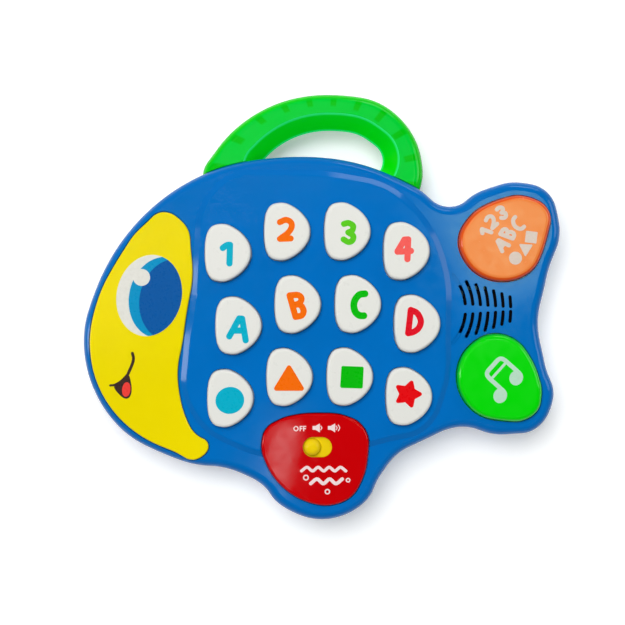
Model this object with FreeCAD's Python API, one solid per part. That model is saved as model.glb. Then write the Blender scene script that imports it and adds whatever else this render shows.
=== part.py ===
import FreeCAD, Part
import math
import os

# Fish-shaped electronic learning pad, lying on its back with the keys up.
# Millimetres; +X runs from the fish's nose to its tail, +Y to the carrying handle, +Z up.

V = FreeCAD.Vector
UP = V(0, 0, 1)

# Heights of the housing, measured from the surface that the toy lies on
foot_height = 1.5
foot_radius = 7.0
split_z = 17.0
base_z = 30.0
pad_rise = 1.6
wall = 2.2
rim_round = 5.0
back_round = 6.0
pad_skirt = 3.2
pad_sink = 0.4
pad_edge_round = 2.0
inner_round = 1.0
seam_chamfer = 0.4

# Outline of the fish seen from above, clockwise from the nose
fish_points = [
    (-129.7, -18.0), (-121.6, 13.0), (-99.6, 47.0), (-65.8, 71.4), (-19.5, 81.6), (22.0, 77.6),
    (50.0, 65.8), (69.6, 54.5), (88.9, 63.8), (106.5, 67.8), (122.8, 62.8), (129.8, 45.2),
    (122.6, 14.5), (118.2, -10.0), (121.5, -29.2), (126.4, -51.0), (117.5, -66.4), (100.0, -69.9),
    (73.0, -66.1), (56.0, -72.9), (40.5, -81.6), (33.0, -91.0), (24.0, -106.5), (3.4, -116.0),
    (-22.0, -108.5), (-34.0, -96.0), (-44.5, -90.7), (-77.3, -83.8), (-112.0, -64.0), (-127.0, -37.5),
]

# Raised field that carries the keys, clockwise from the left
pad_points = [
    (-66.0, 30.5), (-62.5, 54.0), (-53.0, 66.0), (-19.8, 71.0), (9.9, 69.1), (36.9, 61.8),
    (55.9, 43.4), (65.8, 18.6), (67.0, -12.7), (65.0, -44.0), (56.0, -63.0), (33.0, -71.0),
    (-45.2, -73.8), (-62.5, -63.5), (-71.8, -47.0), (-71.6, -23.5), (-67.2, 6.2),
]

# Face plate that is let into the head
face_points = [
    (-84.6, 51.4), (-74.6, 45.4), (-70.0, 26.0), (-74.0, -12.3), (-77.5, -40.5), (-71.0, -65.0),
    (-61.4, -78.0), (-66.0, -82.4), (-83.0, -77.7), (-99.0, -69.8), (-112.0, -58.2), (-122.0, -41.2),
    (-125.9, -20.0), (-121.2, 4.6), (-110.2, 26.2), (-98.0, 42.8),
]
plate_thickness = 2.2
plate_proud = 0.6
plate_edge_round = 0.9
plate_gap = 0.5
tray_floor = 2.0
tray_wall = 2.7
stake_radius = 1.5
stake_length = 3.2
stake_gap = 0.2
face_stakes = [(-86.0, 36.0), (-106.0, -26.0), (-74.0, -72.0)]

# Switch panel in the belly fin, with a slot for the sliding knob
panel_points = [
    (-2.0, -57.5), (12.4, -58.8), (20.8, -62.8), (25.4, -70.0), (25.6, -79.0), (22.8, -92.8),
    (16.2, -103.3), (4.0, -108.0), (-8.5, -105.9), (-20.5, -98.7), (-29.4, -87.0), (-32.8, -75.4),
    (-30.4, -66.4), (-22.0, -60.7), (-12.5, -58.2),
]
panel_proud = 1.6
panel_edge_round = 1.5
panel_stakes = [(-22.0, -86.0), (17.0, -90.0), (18.0, -67.0)]
slot_x = -2.2
slot_y = -76.1
slot_length = 15.8
slot_width = 10.9
knob_radius = 4.8
knob_gap = 0.35
knob_height = 3.8
knob_round = 3.6
knob_plate_length = 22.4
knob_plate_width = 13.0
knob_plate_thickness = 3.7
panel_pocket = 2.2
knob_play = 0.15
channel_floor = 1.8
prong_thickness = 1.1
prong_width = 4.0

# Twelve keys in three arched rows of four
key_half_points = [
    (-12.5, 0.0), (-12.22, 5.8), (-11.3, 10.3), (-8.8, 14.1), (-4.5, 15.5), (5.4, 12.1), (12.4, 0.0),
]
key_pitch = 32.2
key_row_pitch = 39.2
key_arch = 11.0
key_row_shift = (-2.4, 3.3, -1.1)
key_column_shift = [(0.3, -0.9), (0.0, -0.5), (0.3, -0.3), (0.0, 0.1)]
key_first_row_y = 29.8
key_rise = 4.6
key_edge_round = 1.8
key_gap = 0.35
key_flange = 1.2
key_flange_thickness = 1.4
key_travel = 2.0
key_side = 1.8
key_roof = 2.0
plunger_radius = 4.0
plunger_drop = 1.4
key_names = [
    ("key_1", "key_2", "key_3", "key_4"),
    ("key_a", "key_b", "key_c", "key_d"),
    ("key_circle", "key_triangle", "key_square", "key_star"),
]

# Two large buttons in the tail
mode_points = [
    (109.8, 59.7), (122.7, 52.1), (121.7, 36.3), (110.6, 17.0), (96.2, 13.6), (79.3, 22.3),
    (74.3, 36.2), (80.8, 49.0), (95.0, 57.4),
]
music_points = [
    (96.0, -14.9), (106.4, -19.1), (112.9, -27.2), (117.2, -36.8), (119.2, -46.5), (116.4, -57.0),
    (109.5, -61.5), (100.0, -62.0), (82.5, -56.7),
    (73.4, -41.0), (78.6, -23.0),
]
button_rise = 4.2
button_edge_round = 3.0
button_flange = 1.0
button_gap = 0.55
mode_center = (99.5, 37.0)
music_center = (97.0, -39.5)

# Rubber domes and circuit boards under the keys and buttons
mat_thickness = 1.0
dome_height = 2.5
dome_base = 6.5
dome_top = 4.0
dome_skin = 1.2
board_thickness = 1.6
board_margin_x = 13.0
board_margin_y = 17.0
board_corner = 14.0
post_radius = 2.6
post_offsets = [(-0.45, 2.0), (0.25, -4.6), (-2.05, 1.1), (-1.45, -2.4)]
top_post = (-3.5, 53.0)
board_screw_radius = 1.1
board_screw_head = 2.2
board_screw_head_height = 1.4
board_screw_length = 7.0
screw_play = 0.05
screw_slack = 0.2
chip_place = (6.0, -46.0)
chip_radius = 7.0
chip_slope = 2.0
chip_height = 1.4
button_board_length = 36.0
button_board_width = 26.0
button_post_spacing = 27.0
switch_board_length = 34.0
switch_board_width = 14.0
switch_board_corner = 2.0
switch_post_spacing = 27.0
switch_length = 13.0
switch_width = 6.0
switch_height = 4.4
switch_drop = 5.5
lever_width = 1.6
lever_depth = 3.0
lever_height = 2.6

# Speaker behind seven pairs of curved slots in the tail
speaker_x = 90.5
speaker_y = -1.1
speaker_radius = 14.0
speaker_lip = 1.0
speaker_depth = 6.0
magnet_radius = 8.0
magnet_height = 5.5
collar_half_x = 15.2
collar_half_y = 12.2
collar_wall = 1.5
collar_corner = 6.0
collar_relief = 1.6
relief_from = 8.0
speaker_drop = 0.4
cloth_thickness = 0.4
clamp_thickness = 1.2
clamp_reach = 18.5
clamp_bore = 13.2
clamp_screw_length = 5.5
grille_columns = 7
grille_x = 78.1
grille_y = -1.4
grille_radius = 28.0
grille_pitch = 4.08
grille_slot = 1.8
grille_half_first = 12.2
grille_half_second = 14.8
grille_half_step = 1.64
grille_bridge_first = 2.9
grille_bridge_step = 0.27
grille_groove_half = 18.4
grille_groove_depth = 0.8

# Carrying handle, moulded as two clear halves that meet on the split plane
handle_points = [
    (-65.1, 72.3), (-57.4, 86.1), (-31.6, 108.1), (3.6, 116.2), (37.7, 108.1), (53.7, 86.1),
    (54.2, 64.1), (38.0, 46.0), (-45.0, 50.0),
]
grip_points = [
    (-34.0, 77.5), (-29.9, 82.8), (-23.2, 88.5), (-15.4, 92.9), (4.5, 96.9), (24.3, 92.6), (33.5, 83.0),
    (28.0, 68.0), (-30.0, 69.0),
]
handle_half = 9.0
handle_round = 5.0
handle_slope = 8.8
handle_wall = 2.0
handle_gap = 0.25
rib_count = 9
rib_first_angle = 156.6
rib_step = 17.9
rib_thickness = 3.4
rib_center = (3.0, 70.0)
lug_half = 6.0
lug_foot_y = 59.0
lug_gap = 0.3
left_lug = (-58.0, -42.0, 80.0)
right_lug = (36.0, 50.0, 72.0)

# Screws that hold the two halves of the housing together
left_lug_screw = (-50.0, 66.5)
right_lug_screw = (43.0, 64.5)
housing_screw_places = [
    (-110.0, 8.0), (-88.0, -60.0), left_lug_screw, right_lug_screw, (68.8, 46.5), (112.5, 8.0),
    (69.0, -58.0), (3.0, -102.0),
]
boss_radius = 3.4
boss_meet_z = 14.0
boss_gap = 0.3
screw_seat_z = 9.0
screw_radius = 1.4
screw_length = 13.0
screw_head = 2.8
screw_head_height = 2.0
screw_clearance = 0.3
counterbore_wall = 1.8
counterbore_gap = 0.6

# Battery compartment in the back, with a hooked cover held by one screw
cell_radius = 7.25
cell_length = 50.5
cell_pitch = 15.0
cell_lift = 0.5
cell_nub_radius = 2.7
cell_nub_height = 1.2
spring_length = 6.4
spring_radius = 3.4
spring_wire = 0.45
spring_turns = 4
spring_clearance = 0.02
contact_thickness = 0.5
contact_size = 11.0
bay_x = -1.5
bay_y = -3.0
bay_side_play = 0.8
bay_end_play = 0.4
bay_wall = 1.6
cover_thickness = 2.0
cover_gap = 0.3
cover_ledge = 2.0
cover_ear = 13.0
cover_corner = 3.0
cover_rib_count = 5
cover_rib_setback = 8.0
cover_rib_pitch = 3.0
cover_rib_width = 1.2
cover_rib_half = 9.0
cover_rib_depth = 0.5
hook_setback = 5.0
hook_length = 3.0
hook_width = 4.4
hook_thickness = 1.3
cover_screw_length = 5.6
cover_cup_radius = 4.5
cover_cup_height = 2.4
cover_boss_height = 10.0
cover_boss_radius = 4.0
cover_screw_play = 0.45

lead_radius = 0.6

feet = [(-92.0, 26.0), (-66.0, -68.0), (92.0, 42.0), (98.0, -48.0)]

# Heights that follow from the sizes above
back_z = foot_height
floor_z = back_z + wall
pad_z = base_z + pad_rise
base_under = base_z - wall
pad_under = pad_z - wall
plate_under = base_z + plate_proud - plate_thickness
tray_z = plate_under - tray_floor
key_flange_z = pad_under - key_flange_thickness
key_dome_z = key_flange_z - plunger_drop
board_top = key_dome_z - dome_height - mat_thickness
board_z = board_top - board_thickness
button_flange_z = base_under - key_flange_thickness
button_dome_z = button_flange_z - plunger_drop
button_board_top = button_dome_z - dome_height - mat_thickness
button_board_z = button_board_top - board_thickness
speaker_z = button_flange_z - key_travel - speaker_drop
lip_z = speaker_z - speaker_lip
channel_z = plate_under + panel_pocket - knob_plate_thickness - 2 * knob_play
channel_under = channel_z - channel_floor
switch_board_top = board_top - switch_drop
switch_board_z = switch_board_top - board_thickness
knob_x = slot_x - slot_length / 2 + knob_gap + knob_radius
knob_travel = slot_length - 2 * knob_radius - 2 * knob_gap


def flat(point, z=0.0):
    return V(point[0], point[1], z)


def arc_edge(start, heading, end):
    """Arc from start to end that leaves start along heading."""
    chord = end - start
    along = chord.dot(heading) / chord.Length
    turn = math.acos(max(-1.0, min(1.0, along)))
    if turn < 0.002:
        return Part.LineSegment(start, end).toShape()
    side = heading - chord * (chord.dot(heading) / chord.Length ** 2)
    side.normalize()
    middle = (start + end) * 0.5 + side * (chord.Length / 2 * math.tan(turn / 2))
    return Part.Arc(start, middle, end).toShape()


def smooth_outline(points):
    """Closed outline of tangent arcs: each point takes the heading of the circle through its neighbours."""
    spots = [flat(p) for p in points]
    count = len(spots)
    headings = []
    for i in range(count):
        before = spots[i] - spots[i - 1]
        after = spots[(i + 1) % count] - spots[i]
        heading = before * (1 / before.Length ** 2) + after * (1 / after.Length ** 2)
        headings.append(heading.normalize())
    edges = []
    for i in range(count):
        a, b = spots[i], spots[(i + 1) % count]
        ta, tb = headings[i], headings[(i + 1) % count]
        gap = b - a
        spread = 2 * (1 - ta.dot(tb))
        reach = gap.dot(ta + tb)
        if spread < 1e-6:
            length = gap.dot(gap) / (2 * reach)
        else:
            length = (math.sqrt(reach ** 2 + spread * gap.dot(gap)) - reach) / spread
        joint = (a + b + (ta - tb) * length) * 0.5
        first = arc_edge(a, ta, joint)
        edges.append(first)
        edges.append(arc_edge(joint, (joint - a) * (2 * ta.dot(joint - a) / (joint - a).Length ** 2) - ta, b))
    return Part.Wire(edges)


def grow(wire, distance):
    return wire.makeOffset2D(distance)


def prism(wire, low, high):
    solid = Part.Face(wire).extrude(UP * (high - low))
    solid.translate(UP * low)
    return solid


def taper(low_wire, low, high_wire, high):
    bottom = low_wire.copy()
    bottom.translate(UP * low)
    top = high_wire.copy()
    top.translate(UP * high)
    return Part.makeLoft([bottom, top], True, True)


def edges_at(shape, z):
    return [e for e in shape.Edges if abs(e.BoundBox.ZMin - z) < 1e-4 and abs(e.BoundBox.ZMax - z) < 1e-4]


def round_at(shape, z, radius):
    return shape.makeFillet(radius, edges_at(shape, z))


def chamfer_at(shape, z, side):
    return shape.makeChamfer(side, edges_at(shape, z))


def box(x0, x1, y0, y1, z0, z1):
    return Part.makeBox(x1 - x0, y1 - y0, z1 - z0, V(x0, y0, z0))


def rod(place, radius, z0, z1):
    return Part.makeCylinder(radius, z1 - z0, flat(place, z0))


def cone(place, r0, r1, z0, z1):
    return Part.makeCone(r0, r1, z1 - z0, flat(place, z0))


def slab(x0, x1, y0, y1, corner, z0, z1):
    """Plate with round corners."""
    plate = box(x0, x1, y0, y1, z0, z1)
    uprights = [e for e in plate.Edges if abs(e.BoundBox.ZLength - (z1 - z0)) < 1e-6]
    return plate.makeFillet(corner, uprights)


def fuse(shapes):
    first, rest = shapes[0], shapes[1:]
    return first.fuse(rest).removeSplitter() if rest else first


def lead(path):
    """Insulated wire along straight runs with ball corners."""
    pieces = []
    for start, end in zip(path, path[1:]):
        run = end - start
        pieces.append(Part.makeCylinder(lead_radius, run.Length, start, run))
    for corner in path[1:-1]:
        pieces.append(Part.makeSphere(lead_radius, corner))
    return fuse(pieces)


def coil(turns, pitch, radius, wire):
    """Wound spring along Z: half turns, each leaning by half a pitch, that meet tangent to each other."""
    halves = []
    for i in range(2 * turns):
        side = 1 if i % 2 == 0 else -1
        start = V(side * radius, 0, i * pitch / 2)
        end = V(-side * radius, 0, (i + 1) * pitch / 2)
        middle = (start + end) * 0.5
        section = Part.Face(Part.Wire(Part.Circle(start, V(0, 1, 0), wire).toShape()))
        halves.append(section.revolve(middle, (start - middle).cross(V(0, side, 0)), 180))
    return fuse(halves)


def screw(place, seat, length, radius, head, head_height, up):
    """Round-headed screw: its head bears on seat and its shank runs up or down from there."""
    way = UP if up else UP * -1
    body = Part.makeCylinder(radius, length, flat(place, seat), way)
    top = Part.makeCylinder(head, head_height, flat(place, seat) - way * head_height, way)
    end = flat(place, seat) - way * head_height
    driver = head * 0.62
    deep = head_height * 0.55
    recess = []
    for wide, tall in ((driver, 0.35), (0.35, driver)):
        bar = box(-wide, wide, -tall, tall, 0, deep)
        bar.translate(end if up else end - UP * deep)
        recess.append(bar)
    return top.cut(recess).fuse(body).removeSplitter()


# Outlines
fish = smooth_outline(fish_points)
pad_top = smooth_outline(pad_points)
pad_foot = grow(pad_top, pad_skirt * (pad_rise + pad_sink) / pad_rise)
face = smooth_outline(face_points)
panel = smooth_outline(panel_points)
mode_outline = smooth_outline(mode_points)
music_outline = smooth_outline(music_points)
key_lower = [(x, -y) for x, y in reversed(key_half_points[1:-1])]
key_outline = smooth_outline(key_half_points + key_lower)
handle_outline = smooth_outline(handle_points)
grip_outline = smooth_outline(grip_points)
fish_inside = grow(fish, -wall)

key_places = []
for row in range(3):
    for column in range(4):
        x = key_row_shift[row] + (column - 1.5) * key_pitch
        y = key_first_row_y - row * key_row_pitch
        if column in (1, 2):
            y += key_arch
        dx, dy = key_column_shift[column]
        key_places.append((x + dx, y + dy))


def key_gap_center(row, column):
    around = [key_places[r * 4 + c] for r in (row, row + 1) for c in (column, column + 1)]
    return (sum(p[0] for p in around) / 4, sum(p[1] for p in around) / 4)


post_places = [top_post]
for (row, column), (dx, dy) in zip(((0, 0), (0, 2), (1, 0), (1, 2)), post_offsets):
    center = key_gap_center(row, column)
    post_places.append((center[0] + dx, center[1] + dy))

switch_x = knob_x + knob_travel / 2
switch_posts = [(switch_x - switch_post_spacing / 2, slot_y), (switch_x + switch_post_spacing / 2, slot_y)]
clamp_posts = [(speaker_x - clamp_reach, speaker_y), (speaker_x + clamp_reach, speaker_y)]
button_posts = []
for cx, cy in (mode_center, music_center):
    button_posts.append((cx - button_post_spacing / 2, cy))
    button_posts.append((cx + button_post_spacing / 2, cy))

nodes = {}

# Keys: hollow caps with a flange under the housing and a plunger on the rubber dome
top_z = pad_z + key_rise
cap = round_at(prism(key_outline, key_flange_z, top_z), top_z, key_edge_round)
cap = cap.fuse(prism(grow(key_outline, key_flange), key_flange_z, pad_under))
cap = cap.cut(prism(grow(key_outline, -key_side), key_flange_z - 1, top_z - key_roof))
cap = cap.fuse(rod((0, 0), plunger_radius, key_dome_z, top_z - key_roof / 2)).removeSplitter()
for name, place in zip(sum(key_names, ()), key_places):
    key = cap.copy()
    key.translate(flat(place))
    nodes[name] = key


def tail_button(outline, center):
    top = base_z + button_rise
    body = round_at(prism(outline, button_flange_z, top), top, button_edge_round)
    body = body.fuse(prism(grow(outline, button_flange), button_flange_z, base_under))
    body = body.cut(prism(grow(outline, -key_side), button_flange_z - 1, top - key_roof - 0.6))
    return body.fuse(rod(center, plunger_radius, button_dome_z, top - key_roof / 2)).removeSplitter()


nodes["mode_button"] = tail_button(mode_outline, mode_center)
nodes["music_button"] = tail_button(music_outline, music_center)


def dome(place, sheet_z):
    """Hollow rubber dome on the top of a sheet that lies at sheet_z."""
    low = sheet_z + mat_thickness
    skin = cone(place, dome_base, dome_top, low, low + dome_height)
    hollow = cone(place, dome_base - dome_skin, dome_top - dome_skin, sheet_z, low + dome_height - dome_skin)
    return skin, hollow


board_x0 = min(p[0] for p in key_places) - board_margin_x
board_x1 = max(p[0] for p in key_places) + board_margin_x
board_y0 = min(p[1] for p in key_places) - board_margin_y - 1
board_y1 = max(p[1] for p in key_places) + board_margin_y
main_board = slab(board_x0, board_x1, board_y0, board_y1, board_corner, board_z, board_top)
post_holes = [rod(p, board_screw_radius + screw_slack, board_z - 1, board_top + 1) for p in post_places]
nodes["main_board"] = main_board.cut(post_holes)

mat = slab(board_x0 + 1, board_x1 - 1, board_y0 + 1, board_y1 - 1, board_corner - 1,
           board_top, board_top + mat_thickness)
key_domes = [dome(p, board_top) for p in key_places]
mat = mat.fuse([d[0] for d in key_domes]).cut([d[1] for d in key_domes])
nodes["key_mat"] = mat.cut([rod(p, post_radius + 0.5, board_top - 1, board_top + 3) for p in post_places])

nodes["sound_chip"] = cone(chip_place, chip_radius - chip_slope, chip_radius, board_z - chip_height, board_z)

for name, (cx, cy) in (("mode", mode_center), ("music", music_center)):
    half_x = button_board_length / 2
    half_y = button_board_width / 2
    plate = slab(cx - half_x, cx + half_x, cy - half_y, cy + half_y, 4, button_board_z, button_board_top)
    ends = [(cx - button_post_spacing / 2, cy), (cx + button_post_spacing / 2, cy)]
    holes = [rod(p, board_screw_radius + screw_slack, button_board_z - 1, button_board_top + 1) for p in ends]
    nodes[name + "_button_board"] = plate.cut(holes)
    skin, hollow = dome((cx, cy), button_board_top)
    sheet = rod((cx, cy), dome_base + 2.5, button_board_top, button_board_top + mat_thickness)
    nodes[name + "_button_dome"] = sheet.fuse(skin).cut(hollow)

# Front half of the housing
form = round_at(prism(fish, split_z, base_z), base_z, rim_round)
form = chamfer_at(form, split_z, seam_chamfer)
raised = round_at(taper(pad_foot, base_z - pad_sink, pad_top, pad_z), pad_z, pad_edge_round)
form = form.fuse(raised)
hollow = prism(fish_inside, split_z, base_under)
hollow = round_at(hollow, base_under, inner_round)
pad_hollow = taper(grow(pad_top, pad_skirt - wall / 2), base_under, pad_top, pad_under)
front = form.cut(hollow).cut(pad_hollow)

trays = [prism(grow(face, tray_wall), tray_z, pad_z), prism(grow(panel, tray_wall), tray_z, pad_z)]
channel_x0 = knob_x - knob_plate_length / 2 - knob_gap
channel_x1 = knob_x + knob_travel + knob_plate_length / 2 + knob_gap
channel_half = knob_plate_width / 2 + knob_gap
channel_y0 = slot_y - channel_half
channel_y1 = slot_y + channel_half
trays.append(box(channel_x0 - wall, channel_x1 + wall, channel_y0 - wall, channel_y1 + wall,
                 channel_under, plate_under))
posts = [rod(p, post_radius, board_top, pad_z - 1) for p in post_places]
posts += [rod(p, post_radius, switch_board_top, plate_under - 0.5) for p in switch_posts]
posts += [rod(p, post_radius, lip_z, base_z - 1) for p in clamp_posts]
bosses = [rod(p, boss_radius, boss_meet_z, base_z - 1) for p in housing_screw_places]


def around_speaker(shrink, corner, z0, z1):
    half_x = collar_half_x - shrink
    half_y = collar_half_y - shrink
    return slab(speaker_x - half_x, speaker_x + half_x, speaker_y - half_y, speaker_y + half_y,
                corner, z0, z1)


collar = around_speaker(0, collar_corner, speaker_z, base_z - 1)
collar = collar.cut(around_speaker(collar_wall, collar_corner - collar_wall, speaker_z - 1, base_under))
for side in (-1, 1):
    near = speaker_y + side * relief_from
    far = speaker_y + side * (collar_half_y + 1)
    collar = collar.cut(box(speaker_x - collar_half_x - 1, speaker_x + relief_from,
                            min(near, far), max(near, far), base_under - collar_relief, base_z))
solid_form = form.fuse(prism(fish, 0, split_z))
inside = [piece.common(solid_form) for piece in trays + posts + bosses + [collar]]
front = front.fuse(inside)

cuts = []
for place in key_places:
    hole = prism(grow(key_outline, key_gap), base_under - 4, pad_z + 1)
    hole.translate(flat(place))
    cuts.append(hole)
for outline in (mode_outline, music_outline):
    cuts.append(prism(grow(outline, button_gap), base_under - 1, base_z + 1))
for outline, stakes in ((face, face_stakes), (panel, panel_stakes)):
    cuts.append(prism(grow(outline, plate_gap / 2), plate_under, pad_z + 1))
    cuts += [rod(p, stake_radius + stake_gap, tray_z - 1, plate_under + 1) for p in stakes]
cuts.append(box(channel_x0, channel_x1, channel_y0, channel_y1, channel_z, plate_under + 1))
prong_half = lever_width / 2 + 0.1 + prong_thickness
cuts.append(box(knob_x - prong_half - knob_gap, knob_x + knob_travel + prong_half + knob_gap,
                slot_y - prong_width / 2 - knob_gap, slot_y + prong_width / 2 + knob_gap,
                channel_under - 1, channel_z + 1))
cuts += [rod(p, board_screw_radius + screw_play, board_top - 1, board_top + board_screw_length)
         for p in post_places]
cuts += [rod(p, board_screw_radius + screw_play, switch_board_top - 1,
             switch_board_top + board_screw_length - 1) for p in switch_posts]
cuts += [rod(p, board_screw_radius + screw_play, lip_z - 1, lip_z + clamp_screw_length) for p in clamp_posts]
cuts += [rod(p, screw_radius + screw_play, boss_meet_z - 1, screw_seat_z + screw_length + 1)
         for p in housing_screw_places]


def lug_block(lug, grown):
    x0, x1, y1 = lug
    return box(x0 - grown, x1 + grown, lug_foot_y - grown, y1 + grown,
               split_z - lug_half - grown, split_z + lug_half + grown)


lug_notches = []
for lug, place in ((left_lug, left_lug_screw), (right_lug, right_lug_screw)):
    notch = lug_block(lug, lug_gap)
    lug_notches.append(notch.cut(rod(place, boss_radius, 0, base_z)))
cuts += lug_notches


def ring_slot(column, low, high, half_width, z0, z1):
    """Stretch of one curved speaker slot, from height low to height high beside the middle."""
    radius = grille_radius + column * grille_pitch
    hub = (grille_x - grille_radius, grille_y)
    a0 = math.degrees(math.asin(low / radius))
    a1 = math.degrees(math.asin(high / radius))
    outer = Part.makeCylinder(radius + half_width, z1 - z0, flat(hub, z0), UP, a1 - a0)
    inner = Part.makeCylinder(radius - half_width, z1 - z0, flat(hub, z0), UP, a1 - a0)
    piece = outer.cut(inner)
    piece.rotate(flat(hub), UP, a0)
    ends = []
    for angle in (a0, a1):
        turn = math.radians(angle)
        end = (hub[0] + radius * math.cos(turn), hub[1] + radius * math.sin(turn))
        ends.append(rod(end, half_width, z0, z1))
    return piece.fuse(ends)


grille_half = grille_slot / 2
for column in range(grille_columns):
    reach = grille_half_first
    if column:
        reach = grille_half_second - (column - 1) * grille_half_step
    bridge = grille_bridge_first - column * grille_bridge_step
    for low, high in ((bridge, reach), (-reach, -bridge)):
        cuts.append(ring_slot(column, low, high, grille_half, base_under - 1, base_z + 1))
for low, high in ((grille_half_first - 1, grille_groove_half), (-grille_groove_half, 1 - grille_half_first)):
    cuts.append(ring_slot(0, low, high, grille_half, base_z - grille_groove_depth, base_z + 1))
nodes["front_shell"] = front.cut(cuts)

# Face plate and switch panel, staked through the trays
plates = (
    ("face_plate", face, face_stakes, base_z + plate_proud, plate_edge_round),
    ("switch_panel", panel, panel_stakes, base_z + panel_proud, panel_edge_round),
)
for name, outline, stakes, high, edge_round in plates:
    plate = round_at(prism(grow(outline, -plate_gap / 2), plate_under, high), high, edge_round)
    pins = [rod(p, stake_radius, plate_under - stake_length, plate_under + 1) for p in stakes]
    nodes[name] = plate.fuse(pins)
slot = slab(slot_x - slot_length / 2, slot_x + slot_length / 2, slot_y - slot_width / 2,
            slot_y + slot_width / 2, slot_width / 2 - 0.01, plate_under - 1, base_z + panel_proud + 1)
pocket = box(channel_x0, channel_x1, channel_y0, channel_y1, plate_under - 1, plate_under + panel_pocket)
nodes["switch_panel"] = nodes["switch_panel"].cut([slot, pocket])

# Sliding knob, its switch and the switch's board
knob_low = channel_z + knob_play
knob_high = knob_low + knob_plate_thickness
dome_z = knob_high + knob_height
stem = rod((knob_x, slot_y), knob_radius, knob_low, dome_z)
stem = round_at(stem, dome_z, knob_round)
sled = slab(knob_x - knob_plate_length / 2, knob_x + knob_plate_length / 2, slot_y - knob_plate_width / 2,
            slot_y + knob_plate_width / 2, 2.0, knob_low, knob_high)
lever_z = switch_board_top + switch_height
prongs = []
for side in (-1, 1):
    middle = knob_x + side * (lever_width / 2 + 0.1 + prong_thickness / 2)
    prongs.append(box(middle - prong_thickness / 2, middle + prong_thickness / 2, slot_y - prong_width / 2,
                      slot_y + prong_width / 2, lever_z + 0.4, knob_low + 0.5))
nodes["slider_knob"] = sled.fuse([stem] + prongs).removeSplitter()

case = box(switch_x - switch_length / 2, switch_x + switch_length / 2, slot_y - switch_width / 2,
           slot_y + switch_width / 2, switch_board_top, lever_z)
track = box(knob_x - lever_width / 2 - 0.3, knob_x + knob_travel + lever_width / 2 + 0.3,
            slot_y - lever_depth / 2 - 0.3, slot_y + lever_depth / 2 + 0.3, lever_z - 1.5, lever_z + 1)
nodes["slide_switch"] = case.cut(track)
nodes["switch_lever"] = box(knob_x - lever_width / 2, knob_x + lever_width / 2, slot_y - lever_depth / 2,
                            slot_y + lever_depth / 2, lever_z - 1.2, lever_z + lever_height)
small = slab(switch_x - switch_board_length / 2, switch_x + switch_board_length / 2,
             slot_y - switch_board_width / 2, slot_y + switch_board_width / 2, switch_board_corner,
             switch_board_z, switch_board_top)
nodes["switch_board"] = small.cut([rod(p, board_screw_radius + screw_slack, 0, base_z) for p in switch_posts])

# Speaker: cloth, pressed frame, cone, magnet and clamp ring
middle = (speaker_x, speaker_y)
cloth_z = base_under - cloth_thickness
nodes["speaker_cloth"] = around_speaker(collar_wall + 0.3, collar_corner - collar_wall, cloth_z, base_under)
basket_z = lip_z - speaker_depth
frame = rod(middle, speaker_radius, lip_z, speaker_z)
frame = frame.fuse(cone(middle, magnet_radius, speaker_radius - 2, basket_z, lip_z))
frame = frame.cut(cone(middle, magnet_radius - 1, speaker_radius - 3, basket_z + 1, speaker_z))
tab_z = basket_z + speaker_depth / 2
tab = box(speaker_x - speaker_radius, speaker_x - magnet_radius - 2, speaker_y - 5, speaker_y + 5,
          tab_z, tab_z + 0.8)
tab = tab.cut(cone(middle, magnet_radius - 1, speaker_radius - 3, basket_z + 1, speaker_z))
nodes["speaker_frame"] = frame.fuse(tab).removeSplitter()
diaphragm = cone(middle, 3.5, speaker_radius - 3.6, basket_z + 1.6, speaker_z - 0.4)
diaphragm = diaphragm.cut(cone(middle, 3.1, speaker_radius - 4.0, basket_z + 2.0, speaker_z - 0.4))
nodes["speaker_cone"] = diaphragm
nodes["speaker_magnet"] = rod(middle, magnet_radius, basket_z - magnet_height, basket_z)
ring = rod(middle, speaker_radius + 0.5, lip_z - clamp_thickness, lip_z)
for place in clamp_posts:
    ring = ring.fuse(rod(place, post_radius + 0.6, lip_z - clamp_thickness, lip_z))
    reach = box(min(place[0], speaker_x), max(place[0], speaker_x), speaker_y - 3.2, speaker_y + 3.2,
                lip_z - clamp_thickness, lip_z)
    ring = ring.fuse(reach)
ring = ring.cut([rod(middle, clamp_bore, 0, base_z)])
ring = ring.cut([rod(p, board_screw_radius + screw_slack, 0, base_z) for p in clamp_posts])
nodes["speaker_clamp"] = ring.removeSplitter()
clamp_screws = [screw(p, lip_z - clamp_thickness, clamp_screw_length, board_screw_radius, board_screw_head,
                      board_screw_head_height, True) for p in clamp_posts]
nodes["clamp_screws"] = Part.makeCompound(clamp_screws)

# Back half of the housing
back_form = round_at(prism(fish, back_z, split_z), back_z, back_round)
back_form = chamfer_at(back_form, split_z, seam_chamfer)
back_hollow = round_at(prism(fish_inside, floor_z, split_z), floor_z, back_round - wall)
back = back_form.cut(back_hollow)
back = back.fuse([rod(p, foot_radius, 0, floor_z) for p in feet])

bay_length = cell_length + cell_nub_height + spring_length + 2 * contact_thickness + bay_end_play
bay_x0 = bay_x - bay_length / 2
bay_x1 = bay_x + bay_length / 2
bay_half = cell_pitch / 2 + cell_radius + bay_side_play
bay_y0 = bay_y - bay_half
bay_y1 = bay_y + bay_half
cell_z = floor_z + cell_lift + cell_radius
bay_top = cell_z + cell_radius + cell_lift
cover_x0 = bay_x0 + hook_setback
cover_x1 = bay_x1 + cover_ear
cover_y0 = bay_y0 - cover_ledge
cover_y1 = bay_y1 + cover_ledge
cover_screw_place = (bay_x1 + bay_wall + cover_cup_radius + 1.0, bay_y)
additions = [box(bay_x0 - bay_wall, bay_x1 + bay_wall, bay_y0 - bay_wall, bay_y1 + bay_wall,
                 floor_z, bay_top + bay_wall)]
ledge_z = floor_z + 1.5
additions.append(slab(cover_x0 - 1, cover_x1 + 2, cover_y0 - 2, cover_y1 + 2, cover_corner,
                      back_z + 0.5, ledge_z))
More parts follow.
